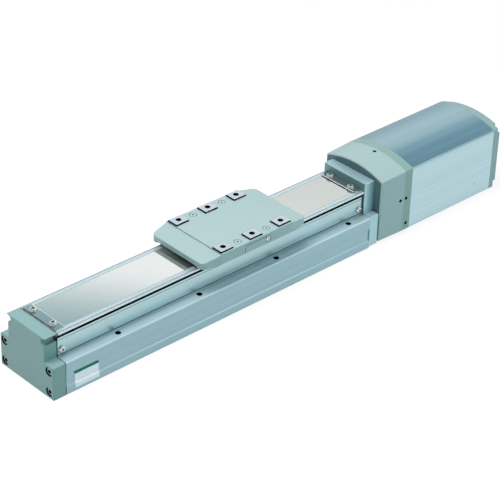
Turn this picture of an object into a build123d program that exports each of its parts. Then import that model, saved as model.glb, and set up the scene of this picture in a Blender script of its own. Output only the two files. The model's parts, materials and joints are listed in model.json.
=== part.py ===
from build123d import *
import math
import os

# Millimetres. Origin at the centre of the base's underside, +X to the motor, +Z up.

# Clearances
THREAD_FIT = 0.05
HOLE_FIT = 0.25
SEAT_FIT = 0.02
RUN_FIT = 0.05
END_GAP = 0.2
SLOT_GAP = 0.35
PLATE_FIT = 0.15
WINDOW_GAP = 0.45
COVER_GAP = 0.4

# Screw sizes: shank radius, head radius, radius of the head's top, head height
M3_CAP = {"shank": 1.5, "head": 2.7, "crown": 2.7, "height": 3.0}
M3_BUTTON = {"shank": 1.5, "head": 2.7, "crown": 1.7, "height": 1.5}
M4_BUTTON = {"shank": 2.0, "head": 3.8, "crown": 2.3, "height": 2.2}
M4_PAN = {"shank": 2.0, "head": 4.0, "crown": 2.9, "height": 2.6}
M4_LOW = {"shank": 2.0, "head": 3.4, "crown": 3.4, "height": 1.6}
M5_CAP = {"shank": 2.5, "head": 4.25, "crown": 4.25, "height": 5.0}

# Base extrusion
BASE_LENGTH = 391.0
BASE_WIDTH = 78.0
LEDGE_WIDTH = 11.9
LEDGE_TOP = 35.2
LEDGE_EDGE = 1.5
KERB_RISE = 1.6
SIDE_COVER_WALL = 2.1
FLOOR_TOP = 9.0
FLOOR_RELIEF_HALF = 6.0
FLOOR_RELIEF_DEPTH = 2.5
RECESS_LOW = 9.2
RECESS_HEIGHT = 13.0
RECESS_DEPTH = 1.2
RECESS_LINE_RISE = 6.3
LINE_DEPTH = 0.3
LEDGE_HOLE_RADIUS = 2.9
LEDGE_HOLE_EDGE = 6.9
LEDGE_HOLE_END = 24.8
LEDGE_HOLE_PITCH = 100.0
LEDGE_HOLE_COUNT = 4
END_SCREW_EDGE = 6.2
END_SCREW_RISE = 6.6
END_SCREW_DROP = 6.3
END_SCREW_GRIP = 16.0
END_SCREW_SPARE = 1.0
AXIS_Z = 36.0
BASE_FRONT = -BASE_LENGTH / 2
BASE_REAR = BASE_LENGTH / 2
HALF_WIDTH = BASE_WIDTH / 2
SIDE_COVER_OUT = HALF_WIDTH - LEDGE_WIDTH
CAVITY_HALF = SIDE_COVER_OUT - SIDE_COVER_WALL
KERB_TOP = LEDGE_TOP + KERB_RISE
RECESS_HIGH = RECESS_LOW + RECESS_HEIGHT

# Side covers
SIDE_COVER_HEIGHT = 19.2
SIDE_COVER_SETBACK = 2.2
SIDE_COVER_EDGE = 0.6
SIDE_COVER_BEVEL = 1.3
SIDE_COVER_BEVEL_DROP = 1.5
SIDE_LINE_DROP = 2.8
JOINT_DEPTH = 0.6
JOINT_HEIGHT = 0.45
SIDE_SCREW_FRONT = 4.5
SIDE_SCREW_REAR = 6.2
SIDE_SCREW_RISE = 5.6
SIDE_SCREW_LENGTH = 10.0
SIDE_COVER_TOP = KERB_TOP + SIDE_COVER_HEIGHT
SIDE_COVER_REAR = BASE_REAR - SIDE_COVER_SETBACK
SIDE_SCREW_STATIONS = (BASE_FRONT + SIDE_SCREW_FRONT, BASE_REAR - SIDE_SCREW_REAR)
SIDE_SCREW_Z = KERB_TOP + SIDE_SCREW_RISE

# Top cover with its lips, a slot above each side cover
SLOT_HEIGHT = 3.0
LIP_HEIGHT = 2.5
LIP_INSET = 2.8
TOP_COVER_WALL = 3.0
TOP_COVER_OVERHANG = 1.2
TOP_COVER_EDGE = 0.9
LIP_GROOVE_EDGE = 1.4
LIP_GROOVE_DEPTH = 0.4
FLANGE_BLOCK_LAP = 0.8
TOP_COVER_BOTTOM = SIDE_COVER_TOP + SLOT_HEIGHT
TOP_COVER_TOP = TOP_COVER_BOTTOM + LIP_HEIGHT
TOP_COVER_INNER = TOP_COVER_TOP - TOP_COVER_WALL
TOP_COVER_HALF = SIDE_COVER_OUT + TOP_COVER_OVERHANG
LIP_INNER = CAVITY_HALF - LIP_INSET
FLANGE_BLOCK_FRONT = BASE_REAR - FLANGE_BLOCK_LAP
TOP_COVER_REAR = FLANGE_BLOCK_FRONT - END_GAP

# Cover band and its clamps
BAND_THICKNESS = 0.4
CLAMP_THICKNESS = 1.2
CLAMP_LAP = 2.2
CLAMP_CORNER = 2.5
CLAMP_EDGE = 0.25
CLAMP_SETBACK = 0.3
CLAMP_FRONT_WIDTH = 10.4
CLAMP_REAR_WIDTH = 9.8
CLAMP_SCREW_INSET = 7.5
CLAMP_SCREW_FRONT = 4.6
CLAMP_SCREW_REAR = 5.5
CLAMP_SCREW_LENGTH = 8.0
BAND_HALF = LIP_INNER - COVER_GAP
CLAMP_HALF = LIP_INNER + CLAMP_LAP
CLAMP_TOP = TOP_COVER_TOP + CLAMP_THICKNESS
CLAMP_SCREW_Y = LIP_INNER - CLAMP_SCREW_INSET
CLAMP_START = BASE_FRONT + CLAMP_SETBACK
CLAMP_END = FLANGE_BLOCK_FRONT - CLAMP_SETBACK
CLAMP_SCREW_STATIONS = (CLAMP_START + CLAMP_SCREW_FRONT, CLAMP_END - CLAMP_SCREW_REAR)

# Front end cover
GASKET = 0.8
GASKET_INSET = 0.4
END_COVER_DEPTH = 14.4
END_COVER_STEP = 0.6
END_COVER_TOP_STEP = 0.45
END_COVER_EDGE = 0.4
END_COVER_FOOT = 1.0
END_COVER_POCKET = 12.0
END_COVER_POCKET_DEPTH = 5.0
UNDERCUT_DEPTH = 4.2
UNDERCUT_DROP = 2.7
UNDERCUT_ROUND = 1.9
UNDERCUT_HIGH_ROUND = 2.8
UNDERCUT_LIP = 1.1
UNDERCUT_TIP = 0.3
COUNTERBORE_RADIUS = 4.65
COUNTERBORE_EXTRA = 1.0
END_COVER_TOWER = SIDE_COVER_OUT - END_COVER_STEP
END_COVER_TOP_HALF = TOP_COVER_HALF - END_COVER_TOP_STEP
END_COVER_BACK = BASE_FRONT - GASKET
FRONT_FACE = END_COVER_BACK - END_COVER_DEPTH
END_SCREW_SEAT = FRONT_FACE + COUNTERBORE_EXTRA + M5_CAP["height"]

# Bearing blocks in the base
BLOCK_SIDE_GAP = 0.1
TAIL_BLOCK_LENGTH = 13.8
FIXED_BLOCK_LENGTH = 18.0
BEARING_STEP = 2.0
TAIL_SHAFT = 5.0
TAIL_BEARING_WALL = 1.8
TAIL_BEARING_OUT = 11.0
TAIL_BEARING_WIDTH = 6.0
FIXED_SHAFT = 6.0
FIXED_BEARING_WALL = 2.2
FIXED_BEARING_OUT = 14.0
SHAFT_ROOM = 0.5
RETAINER_OUT = 22.0
RETAINER_IN = 10.0
RETAINER_THICKNESS = 3.0
LOCK_NUT_GAP = 1.0
LOCK_NUT_LENGTH = 6.0
LOCK_NUT_NOTCH = 1.5
BUMPER_LENGTH = 12.0
BUMPER_WALL = 6.0
TAIL_FRONT = BASE_FRONT + END_GAP
TAIL_REAR = TAIL_FRONT + TAIL_BLOCK_LENGTH
TAIL_BEARING = (TAIL_FRONT + BEARING_STEP, TAIL_FRONT + BEARING_STEP + TAIL_BEARING_WIDTH)
TAIL_RACE = TAIL_SHAFT + TAIL_BEARING_WALL
FIXED_REAR = BASE_REAR - END_GAP
FIXED_FRONT = FIXED_REAR - FIXED_BLOCK_LENGTH
FIXED_BEARING = (FIXED_FRONT + BEARING_STEP, FIXED_REAR)
FIXED_RACE = FIXED_SHAFT + FIXED_BEARING_WALL
LOCK_NUT_OUT = RETAINER_IN - LOCK_NUT_GAP

# Guide rails and blocks
RAIL_WIDTH = 9.0
RAIL_HEIGHT = 6.5
RAIL_END_GAP = 1.0
RAIL_GROOVE = 0.8
RAIL_GROOVE_DROP = 2.5
GUIDE_GAP = 0.3
GUIDE_LIFT = 1.2
GUIDE_HEIGHT = 11.6
GUIDE_WIDTH = 20.0
GUIDE_SIDE_GAP = 0.5
GUIDE_LENGTH = 26.0
GUIDE_OFFSET = 36.0
GUIDE_EDGE = 0.5
RAIL_Y = CAVITY_HALF - GUIDE_SIDE_GAP - GUIDE_WIDTH / 2

# Ball screw and nut
SCREW_RADIUS = 7.5
SCREW_SHOULDER = 2.0
SCREW_TAIL_SPARE = 1.5
NUT_RADIUS = 13.0
NUT_LENGTH = 38.0
NUT_FLANGE_RADIUS = 20.0
NUT_FLANGE = 6.0
NUT_FLAT = 14.5
BUMPER_ROOM = 1.5
BUMPER_IN = SCREW_RADIUS + BUMPER_ROOM

# Saddle and side arms
SADDLE_HALF_LENGTH = 55.0
SADDLE_SIDE_GAP = 3.0
SADDLE_BORE_ROOM = 1.5
NUT_ROOM = 1.0
ARM_HALF_LENGTH = 43.0
ARM_FLANGE_IN = 12.0
ARM_LIP_GAP = 0.5
ARM_WALL = 2.2
ARM_PAD_REACH = 4.2
ARM_PAD_THICKNESS = 2.5
ARM_EDGE = 0.8
SADDLE_HALF = CAVITY_HALF - SADDLE_SIDE_GAP
SADDLE_BOTTOM = FLOOR_TOP + GUIDE_HEIGHT
SADDLE_TOP = SIDE_COVER_TOP + SLOT_GAP
ARM_FLANGE_TOP = TOP_COVER_INNER - SLOT_GAP
ARM_WEB_IN = TOP_COVER_HALF + ARM_LIP_GAP
ARM_WEB_OUT = ARM_WEB_IN + ARM_WALL

# Slide table with its pads
TABLE_X = 37.0
TABLE_OVERHANG = 0.8
TABLE_LIFT = 2.5
TABLE_HEIGHT = 11.3
TABLE_WALL = 2.3
TABLE_END_WALL = 1.15
TABLE_ROOF = 2.6
TABLE_EDGE = 0.5
TABLE_END_MARGIN = 0.95
TUNNEL_INSET = 1.8
TUNNEL_RISE = 1.5
PAD_RISE = 1.6
PAD_LENGTH = 15.8
PAD_WIDTH = 12.4
PAD_PITCH = 37.5
PAD_SETBACK = 7.8
PAD_EDGE = 0.3
PAD_HOLE_RADIUS = 2.5
PAD_HOLE_DEPTH = 12.0
TABLE_SCREW_SETBACK = 7.6
TABLE_SCREW_RING = 0.35
TABLE_SCREW_SINK = 0.1
TABLE_HALF = HALF_WIDTH + TABLE_OVERHANG
TABLE_HALF_LENGTH = PAD_PITCH + PAD_LENGTH / 2 + TABLE_END_MARGIN
TABLE_BOTTOM = TOP_COVER_TOP + TABLE_LIFT
TABLE_TOP = TABLE_BOTTOM + TABLE_HEIGHT
PAD_TOP = TABLE_TOP + PAD_RISE
PAD_Y = TABLE_HALF - PAD_SETBACK
TABLE_SCREW_X = PAD_PITCH / 2
TABLE_SCREW_Y = TABLE_HALF - TABLE_SCREW_SETBACK
TABLE_SCREW_SEAT = TABLE_TOP - M4_LOW["height"] - TABLE_SCREW_SINK
TUNNEL_HALF = TOP_COVER_HALF - TUNNEL_INSET
TUNNEL_TOP = TABLE_BOTTOM + TUNNEL_RISE
ARM_PAD_OUT = TABLE_SCREW_Y + ARM_PAD_REACH
ARM_PAD_BOTTOM = TABLE_BOTTOM - ARM_PAD_THICKNESS

# End pieces of the table
END_PIECE_LENGTH = 21.3
END_PIECE_STEP = 0.9
END_PIECE_DROP = 3.6
END_PIECE_TAPER = 3.3
END_PIECE_CORNER = 5.5
END_PIECE_WALL = 2.0
END_PIECE_EDGE = 0.8
END_PIECE_FLARE = 3.0
END_PIECE_TOP = TABLE_TOP - END_PIECE_STEP
END_PIECE_RIM = END_PIECE_TOP - END_PIECE_DROP
END_PIECE_RIM_HALF = TABLE_HALF - END_PIECE_TAPER

# Grease port cover
GREASE_FRONT = 15.3
GREASE_REAR = 14.7
GREASE_DROP = 3.6
GREASE_THICKNESS = 0.8
GREASE_CORNER = 4.0
GREASE_SCREW_RISE = 4.6
GREASE_SCREW_SEAT = 1.2
GREASE_SCREW_ROOM = 0.5

# Drive flange
FLANGE_THICKNESS = 11.3
FLANGE_BLOCK_THICKNESS = 12.3
FLANGE_BOTTOM = 1.4
FLANGE_RISE = 0.8
FLANGE_BLOCK_MARGIN = 2.8
FLANGE_BLOCK_RISE = 9.0
FLANGE_BLOCK_EDGE = 2.0
FLANGE_BLOCK_CHAMFER = 0.5
FLANGE_KERB_GAP = 0.3
FLANGE_TOP = LEDGE_TOP + FLANGE_RISE
FLANGE_REAR = BASE_REAR + FLANGE_THICKNESS
FLANGE_BLOCK_REAR = BASE_REAR + FLANGE_BLOCK_THICKNESS
FLANGE_BLOCK_HALF = SIDE_COVER_OUT + FLANGE_BLOCK_MARGIN
FLANGE_BLOCK_TOP = TOP_COVER_TOP + FLANGE_BLOCK_RISE
FLANGE_BORE = RETAINER_OUT + LOCK_NUT_GAP

# Motor unit: half width, bottom, corner height and crown height of each arched outline
HOUSING_MARGIN = 0.9
HOUSING_BOTTOM = 2.2
HOUSING_SHOULDER = 1.3
HOUSING_CROWN = 9.4
DRAFT_SIDE = 1.0
DRAFT_BOTTOM = 0.3
DRAFT_SHOULDER = 1.4
DRAFT_CROWN = 1.2
ARCH_CORNER = 2.0
HOUSING_GAP = 0.4
HOUSING_LENGTH = 33.7
HOUSING_RIM = 1.5
HOUSING_HOLE_RADIUS = 1.8
HOUSING_HOLE_DEPTH = 7.0
HOUSING_TOP_HOLE_END = 4.6
HOUSING_SIDE_HOLE_END = 4.9
HOUSING_SIDE_HOLE_Z = 40.4
FRONT_PLATE_THICKNESS = 2.8
FRONT_PLATE_INSET = 1.9
RING_LENGTH = 10.4
RING_HOLE_RADIUS = 1.75
RING_HOLE_DEPTH = 5.5
RING_HOLES = ((3.2, 40.7), (5.3, 10.5))
HOUSING_OUTLINE = (
    HALF_WIDTH + HOUSING_MARGIN,
    HOUSING_BOTTOM,
    FLANGE_BLOCK_TOP + HOUSING_SHOULDER,
    FLANGE_BLOCK_TOP + HOUSING_CROWN,
)
MOTOR_OUTLINE = (
    HOUSING_OUTLINE[0] + DRAFT_SIDE,
    HOUSING_OUTLINE[1] - DRAFT_BOTTOM,
    HOUSING_OUTLINE[2] + DRAFT_SHOULDER,
    HOUSING_OUTLINE[3] + DRAFT_CROWN,
)
MOTOR_HALF, MOTOR_BOTTOM, MOTOR_SHOULDER, MOTOR_CROWN = MOTOR_OUTLINE
HOUSING_FRONT = FLANGE_BLOCK_REAR + HOUSING_GAP
HOUSING_REAR = HOUSING_FRONT + HOUSING_LENGTH
FRONT_PLATE_REAR = FLANGE_BLOCK_REAR + FRONT_PLATE_THICKNESS
RING_REAR = HOUSING_REAR + RING_LENGTH

# Motor cover and rear cap
COVER_LENGTH = 124.1
COVER_WALL = 2.0
COVER_INNER_CORNER = 1.0
PORT_EDGE = 4.9
PORT_RISE = 4.4
PORT_DROP = 3.0
PORT_RADIUS = 3.3
PORT_DEPTH = 14.0
CAP_SCREW_LENGTH = 18.0
CAP_FLANGE = 6.3
CAP_PANEL = 4.9
CAP_INSET = 1.6
CAP_NOTCH_EDGE = 8.6
CAP_NOTCH_RISE = 7.3
CAP_NOTCH_DROP = 6.5
CAP_POCKET_MARGIN = 3.3
CAP_POCKET_DEPTH = 4.0
GLAND_Y = 14.0
GLAND_Z = 24.0
GLAND_RADIUS = 6.0
GLAND_BORE = 3.2
GLAND_HEX = 16.0
GLAND_HEX_LENGTH = 5.0
GLAND_NUT_RADIUS = 7.0
GLAND_NUT_LENGTH = 7.0
COVER_REAR = RING_REAR + COVER_LENGTH
CAP_FLANGE_REAR = COVER_REAR + CAP_FLANGE
CAP_REAR = CAP_FLANGE_REAR + CAP_PANEL
CAP_NOTCH_Y = MOTOR_HALF - CAP_NOTCH_EDGE
CAP_MIDDLE = (MOTOR_BOTTOM + CAP_NOTCH_RISE, MOTOR_SHOULDER - CAP_NOTCH_DROP)

# Servo motor and coupling
MOTOR_SQUARE = 60.0
MOTOR_FLANGE = 8.0
MOTOR_BODY = 77.7
MOTOR_BODY_CUT = 18.0
MOTOR_PILOT_MARGIN = 3.0
MOTOR_PILOT_LENGTH = 3.0
MOTOR_EDGE = 3.0
MOTOR_SHAFT = 7.0
SHAFT_SPARE = 1.0
SHAFT_REAR_GAP = 4.0
ENCODER_SQUARE = 54.0
ENCODER_REAR_GAP = 4.4
HUB_RADIUS = 16.0
HUB_LENGTH = 14.0
HUB_ROOM = 6.0
PLATE_ROOM = 1.5
SPIDER_SETBACK = 18.8
SPIDER_LENGTH = 6.0
SPIDER_BORE = 5.0
SPIDER_INSET = 0.5
JAW_COUNT = 3
JAW_ANGLE = 44.0
JAW_INNER = 6.5
JAW_ROOM = 1.0
HUB_BORE = HUB_RADIUS + HUB_ROOM
MOTOR_PILOT = HUB_BORE + MOTOR_PILOT_MARGIN
MOTOR_FLANGE_REAR = RING_REAR + MOTOR_FLANGE
MOTOR_BODY_REAR = MOTOR_FLANGE_REAR + MOTOR_BODY
SPIDER_FRONT = HOUSING_FRONT + SPIDER_SETBACK
SPIDER_REAR = SPIDER_FRONT + SPIDER_LENGTH
MOTOR_SHAFT_REAR = MOTOR_BODY_REAR - SHAFT_REAR_GAP

# Nameplate
NAMEPLATE_FRONT = 10.0
NAMEPLATE_LENGTH = 28.2
NAMEPLATE_DROP = 6.0
NAMEPLATE_TOP_GAP = 1.6
NAMEPLATE_THICKNESS = 0.3

HEAD_FRONT = Rot(0, -90, 0)
HEAD_REAR = Rot(0, 90, 0)
HEAD_NEAR = Rot(90, 0, 0)
HEAD_FAR = Rot(-90, 0, 0)
SIDES = (-1, 1)


# Solids by their limits
def block(x_range, y_range, z_range):
    spans = [x_range, y_range, z_range]
    middle = [(low + high) / 2 for low, high in spans]
    size = [high - low for low, high in spans]
    return Pos(*middle) * Box(*size)


def rod_x(x_range, y, z, radius):
    low, high = x_range
    return Pos((low + high) / 2, y, z) * Rot(0, 90, 0) * Cylinder(radius, high - low)


def rod_y(y_range, x, z, radius):
    low, high = y_range
    return Pos(x, (low + high) / 2, z) * Rot(90, 0, 0) * Cylinder(radius, high - low)


def rod_z(z_range, x, y, radius):
    low, high = z_range
    return Pos(x, y, (low + high) / 2) * Cylinder(radius, high - low)


def tube_x(x_range, outer, inner):
    return rod_x(x_range, 0, AXIS_Z, outer) - rod_x(x_range, 0, AXIS_Z, inner)


def along_x(outline, x_range):
    low, high = x_range
    return extrude(Plane.YZ.offset(low) * outline, high - low)


def far_side(shape):
    return mirror(shape, Plane.XZ)


def group(solids):
    return Compound(children=list(solids))


def centred(half):
    return (-half, half)


# Closed outline mirrored about the middle, given by its right half
def mirrored_outline(right):
    left = [(-y, z) for y, z in reversed(right) if y > 0]
    return make_face(Polyline(*right, *left, close=True))


def corners(outline, y, z):
    return [v for v in outline.vertices() if abs(abs(v.X) - y) < 0.01 and abs(v.Y - z) < 0.01]


# Arched outline: flat bottom, straight sides, large arc on top
def arch_outline(limits, inset=0.0, corner=ARCH_CORNER):
    half, bottom, side_top, crown = limits
    rise = crown - side_top
    radius = (half ** 2 + rise ** 2) / (2 * rise)
    centre = crown - radius
    half -= inset
    bottom += inset
    crown -= inset
    side_top = centre + math.sqrt((radius - inset) ** 2 - half ** 2)
    walls = Polyline((half, side_top), (half, bottom), (-half, bottom), (-half, side_top))
    arc = ThreePointArc((-half, side_top), (0, crown), (half, side_top))
    outline = make_face(walls + arc)
    return fillet(outline.vertices(), corner)


# Screw turned from its profile, the seat at the origin and the head up
def turned_screw(size, length):
    shank, head = size["shank"], size["head"]
    profile = Polyline(
        (0, -length),
        (shank, -length),
        (shank, 0),
        (head, 0),
        (size["crown"], size["height"]),
        (0, size["height"]),
        close=True)
    return revolve(Plane.XZ * make_face(profile), Axis.Z)


def end_screw_points():
    y = HALF_WIDTH - END_SCREW_EDGE
    levels = (END_SCREW_RISE, LEDGE_TOP - END_SCREW_DROP)
    return [(side * y, z) for side in SIDES for z in levels]


def ledge_hole_points():
    first = BASE_REAR - LEDGE_HOLE_END - (LEDGE_HOLE_COUNT - 1) * LEDGE_HOLE_PITCH
    stations = [first + number * LEDGE_HOLE_PITCH for number in range(LEDGE_HOLE_COUNT)]
    return [(x, side * (HALF_WIDTH - LEDGE_HOLE_EDGE)) for side in SIDES for x in stations]


# Base extrusion
def base_extrusion():
    recess = HALF_WIDTH - RECESS_DEPTH
    line = RECESS_LOW + RECESS_LINE_RISE
    outline = mirrored_outline([
        (0, 0),
        (HALF_WIDTH, 0),
        (HALF_WIDTH, RECESS_LOW - RECESS_DEPTH),
        (recess, RECESS_LOW),
        (recess, line - LINE_DEPTH),
        (recess - LINE_DEPTH, line),
        (recess, line + LINE_DEPTH),
        (recess, RECESS_HIGH),
        (HALF_WIDTH, RECESS_HIGH),
        (HALF_WIDTH, LEDGE_TOP),
        (SIDE_COVER_OUT, LEDGE_TOP),
        (SIDE_COVER_OUT, KERB_TOP),
        (CAVITY_HALF, KERB_TOP),
        (CAVITY_HALF, FLOOR_TOP),
        (FLOOR_RELIEF_HALF, FLOOR_TOP),
        (FLOOR_RELIEF_HALF, FLOOR_TOP - FLOOR_RELIEF_DEPTH),
    ])
    outline = fillet(corners(outline, HALF_WIDTH, LEDGE_TOP), LEDGE_EDGE)
    shape = along_x(outline, (BASE_FRONT, BASE_REAR))
    for x, y in ledge_hole_points():
        shape -= rod_z((0, LEDGE_TOP), x, y, LEDGE_HOLE_RADIUS)
    tapped = (BASE_FRONT, BASE_FRONT + END_SCREW_GRIP + END_SCREW_SPARE)
    for y, z in end_screw_points():
        shape -= rod_x(tapped, y, z, M5_CAP["shank"] + THREAD_FIT)
    return shape


# Side cover standing on the kerb: shadow joint below, thin line and inner bevel above
def side_cover():
    out = SIDE_COVER_OUT
    line = SIDE_COVER_TOP - SIDE_LINE_DROP
    joint_top = KERB_TOP + JOINT_HEIGHT
    outline = make_face(Polyline(
        (-CAVITY_HALF, KERB_TOP),
        (-out + JOINT_DEPTH, KERB_TOP),
        (-out + JOINT_DEPTH, joint_top),
        (-out, joint_top),
        (-out, line - LINE_DEPTH),
        (-out + LINE_DEPTH, line),
        (-out, line + LINE_DEPTH),
        (-out, SIDE_COVER_TOP),
        (-CAVITY_HALF - SIDE_COVER_BEVEL, SIDE_COVER_TOP),
        (-CAVITY_HALF, SIDE_COVER_TOP - SIDE_COVER_BEVEL_DROP),
        close=True))
    outline = fillet(corners(outline, out, SIDE_COVER_TOP), SIDE_COVER_EDGE)
    shape = along_x(outline, (BASE_FRONT, SIDE_COVER_REAR))
    for x in SIDE_SCREW_STATIONS:
        shape -= rod_y((-out, -CAVITY_HALF), x, SIDE_SCREW_Z, M4_BUTTON["shank"] + HOLE_FIT)
    return shape


def side_cover_screws():
    screw = turned_screw(M4_BUTTON, SIDE_SCREW_LENGTH)
    near = [Pos(x, -SIDE_COVER_OUT, SIDE_SCREW_Z) * HEAD_NEAR * screw for x in SIDE_SCREW_STATIONS]
    far = [Pos(x, SIDE_COVER_OUT, SIDE_SCREW_Z) * HEAD_FAR * screw for x in SIDE_SCREW_STATIONS]
    return group(near + far)


def clamp_screw_points():
    return [(x, side * CLAMP_SCREW_Y) for x in CLAMP_SCREW_STATIONS for side in SIDES]


def clamp_screw_holes(z_range, fit=HOLE_FIT):
    return [rod_z(z_range, x, y, M4_PAN["shank"] + fit) for x, y in clamp_screw_points()]


# Top cover with its two beaded lips and the seat of the band
def top_cover():
    seat = TOP_COVER_TOP - BAND_THICKNESS
    groove = TOP_COVER_HALF - LIP_GROOVE_EDGE
    outline = mirrored_outline([
        (0, TOP_COVER_INNER),
        (LIP_INNER, TOP_COVER_INNER),
        (LIP_INNER, TOP_COVER_BOTTOM),
        (TOP_COVER_HALF, TOP_COVER_BOTTOM),
        (TOP_COVER_HALF, TOP_COVER_TOP),
        (groove + LIP_GROOVE_DEPTH / 2, TOP_COVER_TOP),
        (groove, TOP_COVER_TOP - LIP_GROOVE_DEPTH),
        (groove - LIP_GROOVE_DEPTH / 2, TOP_COVER_TOP),
        (LIP_INNER, TOP_COVER_TOP),
        (LIP_INNER, seat),
        (0, seat),
    ])
    outline = fillet(corners(outline, TOP_COVER_HALF, TOP_COVER_TOP), TOP_COVER_EDGE)
    shape = along_x(outline, (BASE_FRONT, TOP_COVER_REAR))
    return shape - clamp_screw_holes((TOP_COVER_INNER, TOP_COVER_TOP))


def stainless_band():
    limits = (TOP_COVER_TOP - BAND_THICKNESS, TOP_COVER_TOP)
    shape = block((CLAMP_START, CLAMP_END), centred(BAND_HALF), limits)
    return shape - clamp_screw_holes(limits)


# Band clamp strip, rounded at the corners that face the table
def band_clamp(x_range, inner_x):
    limits = (TOP_COVER_TOP, CLAMP_TOP)
    shape = block(x_range, centred(CLAMP_HALF), limits)
    upright = shape.edges().filter_by(Axis.Z)
    shape = fillet([e for e in upright if abs(e.center().X - inner_x) < 0.01], CLAMP_CORNER)
    shape = chamfer(shape.faces().sort_by(Axis.Z)[-1].edges(), CLAMP_EDGE)
    x_low, x_high = x_range
    return shape - [
        rod_z(limits, x, y, M4_PAN["shank"] + HOLE_FIT)
        for x, y in clamp_screw_points()
        if x_low < x < x_high]


def band_clamp_front():
    inner = CLAMP_START + CLAMP_FRONT_WIDTH
    return band_clamp((CLAMP_START, inner), inner)


def band_clamp_rear():
    inner = CLAMP_END - CLAMP_REAR_WIDTH
    return band_clamp((inner, CLAMP_END), inner)


def band_clamp_screws():
    screw = turned_screw(M4_PAN, CLAMP_SCREW_LENGTH)
    return group(Pos(x, y, CLAMP_TOP) * screw for x, y in clamp_screw_points())


# Outline of the end cover: ledges, tower, undercut groove and top plate
def end_cover_outline(inset=0.0):
    half = HALF_WIDTH - inset
    ledge = LEDGE_TOP - inset
    tower = END_COVER_TOWER - inset
    top = TOP_COVER_TOP - inset
    tip = END_COVER_TOP_HALF - inset
    groove_low = SIDE_COVER_TOP - UNDERCUT_DROP
    groove_high = TOP_COVER_TOP - UNDERCUT_LIP
    groove = [
        (tower, groove_low),
        (END_COVER_TOWER - UNDERCUT_DEPTH, groove_low + UNDERCUT_ROUND),
        (END_COVER_TOWER - UNDERCUT_DEPTH, groove_high - UNDERCUT_HIGH_ROUND),
        (tip - UNDERCUT_TIP, groove_high),
    ]
    mirrored = [(-y, z) for y, z in reversed(groove)]
    curves = [
        Polyline((-tower, ledge), (-half, ledge), (-half, inset)),
        Line((-half, inset), (half, inset)),
        Polyline((half, inset), (half, ledge), (tower, ledge), groove[0]),
        Spline(*groove),
        Polyline(groove[-1], (tip, top), (-tip, top), mirrored[0]),
        Spline(*mirrored),
        Line(mirrored[-1], (-tower, ledge)),
    ]
    outline = make_face([edge for curve in curves for edge in curve.edges()])
    outline = fillet(corners(outline, half, ledge), LEDGE_EDGE)
    return fillet(corners(outline, tower, ledge), END_COVER_FOOT)


def end_cover():
    shape = along_x(end_cover_outline(), (FRONT_FACE, END_COVER_BACK))
    shape = chamfer(shape.faces().sort_by(Axis.X)[0].edges(), END_COVER_EDGE)
    for y, z in end_screw_points():
        shape -= rod_x((FRONT_FACE, END_COVER_BACK), y, z, M5_CAP["shank"] + HOLE_FIT)
        shape -= rod_x((FRONT_FACE, END_SCREW_SEAT), y, z, COUNTERBORE_RADIUS)
    pocket = (END_COVER_BACK - END_COVER_POCKET_DEPTH, END_COVER_BACK)
    return shape - rod_x(pocket, 0, AXIS_Z, END_COVER_POCKET)


def end_cover_gasket():
    limits = (END_COVER_BACK, BASE_FRONT)
    shape = along_x(end_cover_outline(GASKET_INSET), limits)
    return shape - [
        rod_x(limits, y, z, M5_CAP["shank"] + HOLE_FIT) for y, z in end_screw_points()]


def end_cover_screws():
    screw = turned_screw(M5_CAP, BASE_FRONT + END_SCREW_GRIP - END_SCREW_SEAT)
    return group(Pos(END_SCREW_SEAT, y, z) * HEAD_FRONT * screw for y, z in end_screw_points())


# Bearing block in the cavity, with the tapped holes of the clamp and side screws
def bearing_block(x_range):
    half = CAVITY_HALF - BLOCK_SIDE_GAP
    shape = block(x_range, centred(half), (FLOOR_TOP, TOP_COVER_INNER))
    low, high = x_range
    below = CLAMP_TOP - CLAMP_SCREW_LENGTH - END_SCREW_SPARE
    for x, y in clamp_screw_points():
        if low < x < high:
            shape -= rod_z((below, TOP_COVER_INNER), x, y, M4_PAN["shank"] + THREAD_FIT)
    inner = SIDE_COVER_OUT - SIDE_SCREW_LENGTH - END_SCREW_SPARE
    for x in SIDE_SCREW_STATIONS:
        if low < x < high:
            for limits in ((-half, -inner), (inner, half)):
                shape -= rod_y(limits, x, SIDE_SCREW_Z, M4_BUTTON["shank"] + THREAD_FIT)
    return shape


def tail_bearing_block():
    limits = (TAIL_FRONT, TAIL_REAR)
    shape = bearing_block(limits)
    shape -= rod_x((TAIL_FRONT, TAIL_BEARING[1]), 0, AXIS_Z, TAIL_BEARING_OUT + SEAT_FIT)
    return shape - rod_x(limits, 0, AXIS_Z, SCREW_RADIUS + SHAFT_ROOM)


def bearing_housing():
    limits = (FIXED_FRONT, FIXED_REAR)
    shape = bearing_block(limits)
    shape -= rod_x(FIXED_BEARING, 0, AXIS_Z, FIXED_BEARING_OUT + SEAT_FIT)
    return shape - rod_x(limits, 0, AXIS_Z, RETAINER_IN)


def tail_bearing_outer_ring():
    return tube_x(TAIL_BEARING, TAIL_BEARING_OUT, TAIL_RACE + RUN_FIT)


def tail_bearing_inner_ring():
    return tube_x(TAIL_BEARING, TAIL_RACE, TAIL_SHAFT)


# Two bearings side by side
def bearing_pair(outer, inner):
    low, high = FIXED_BEARING
    middle = (low + high) / 2
    return group([tube_x((low, middle), outer, inner), tube_x((middle, high), outer, inner)])


def fixed_bearing_outer_rings():
    return bearing_pair(FIXED_BEARING_OUT, FIXED_RACE + RUN_FIT)


def fixed_bearing_inner_rings():
    return bearing_pair(FIXED_RACE, FIXED_SHAFT)


def bearing_retainer():
    return tube_x((FIXED_REAR, FIXED_REAR + RETAINER_THICKNESS), RETAINER_OUT, RETAINER_IN)


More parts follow.
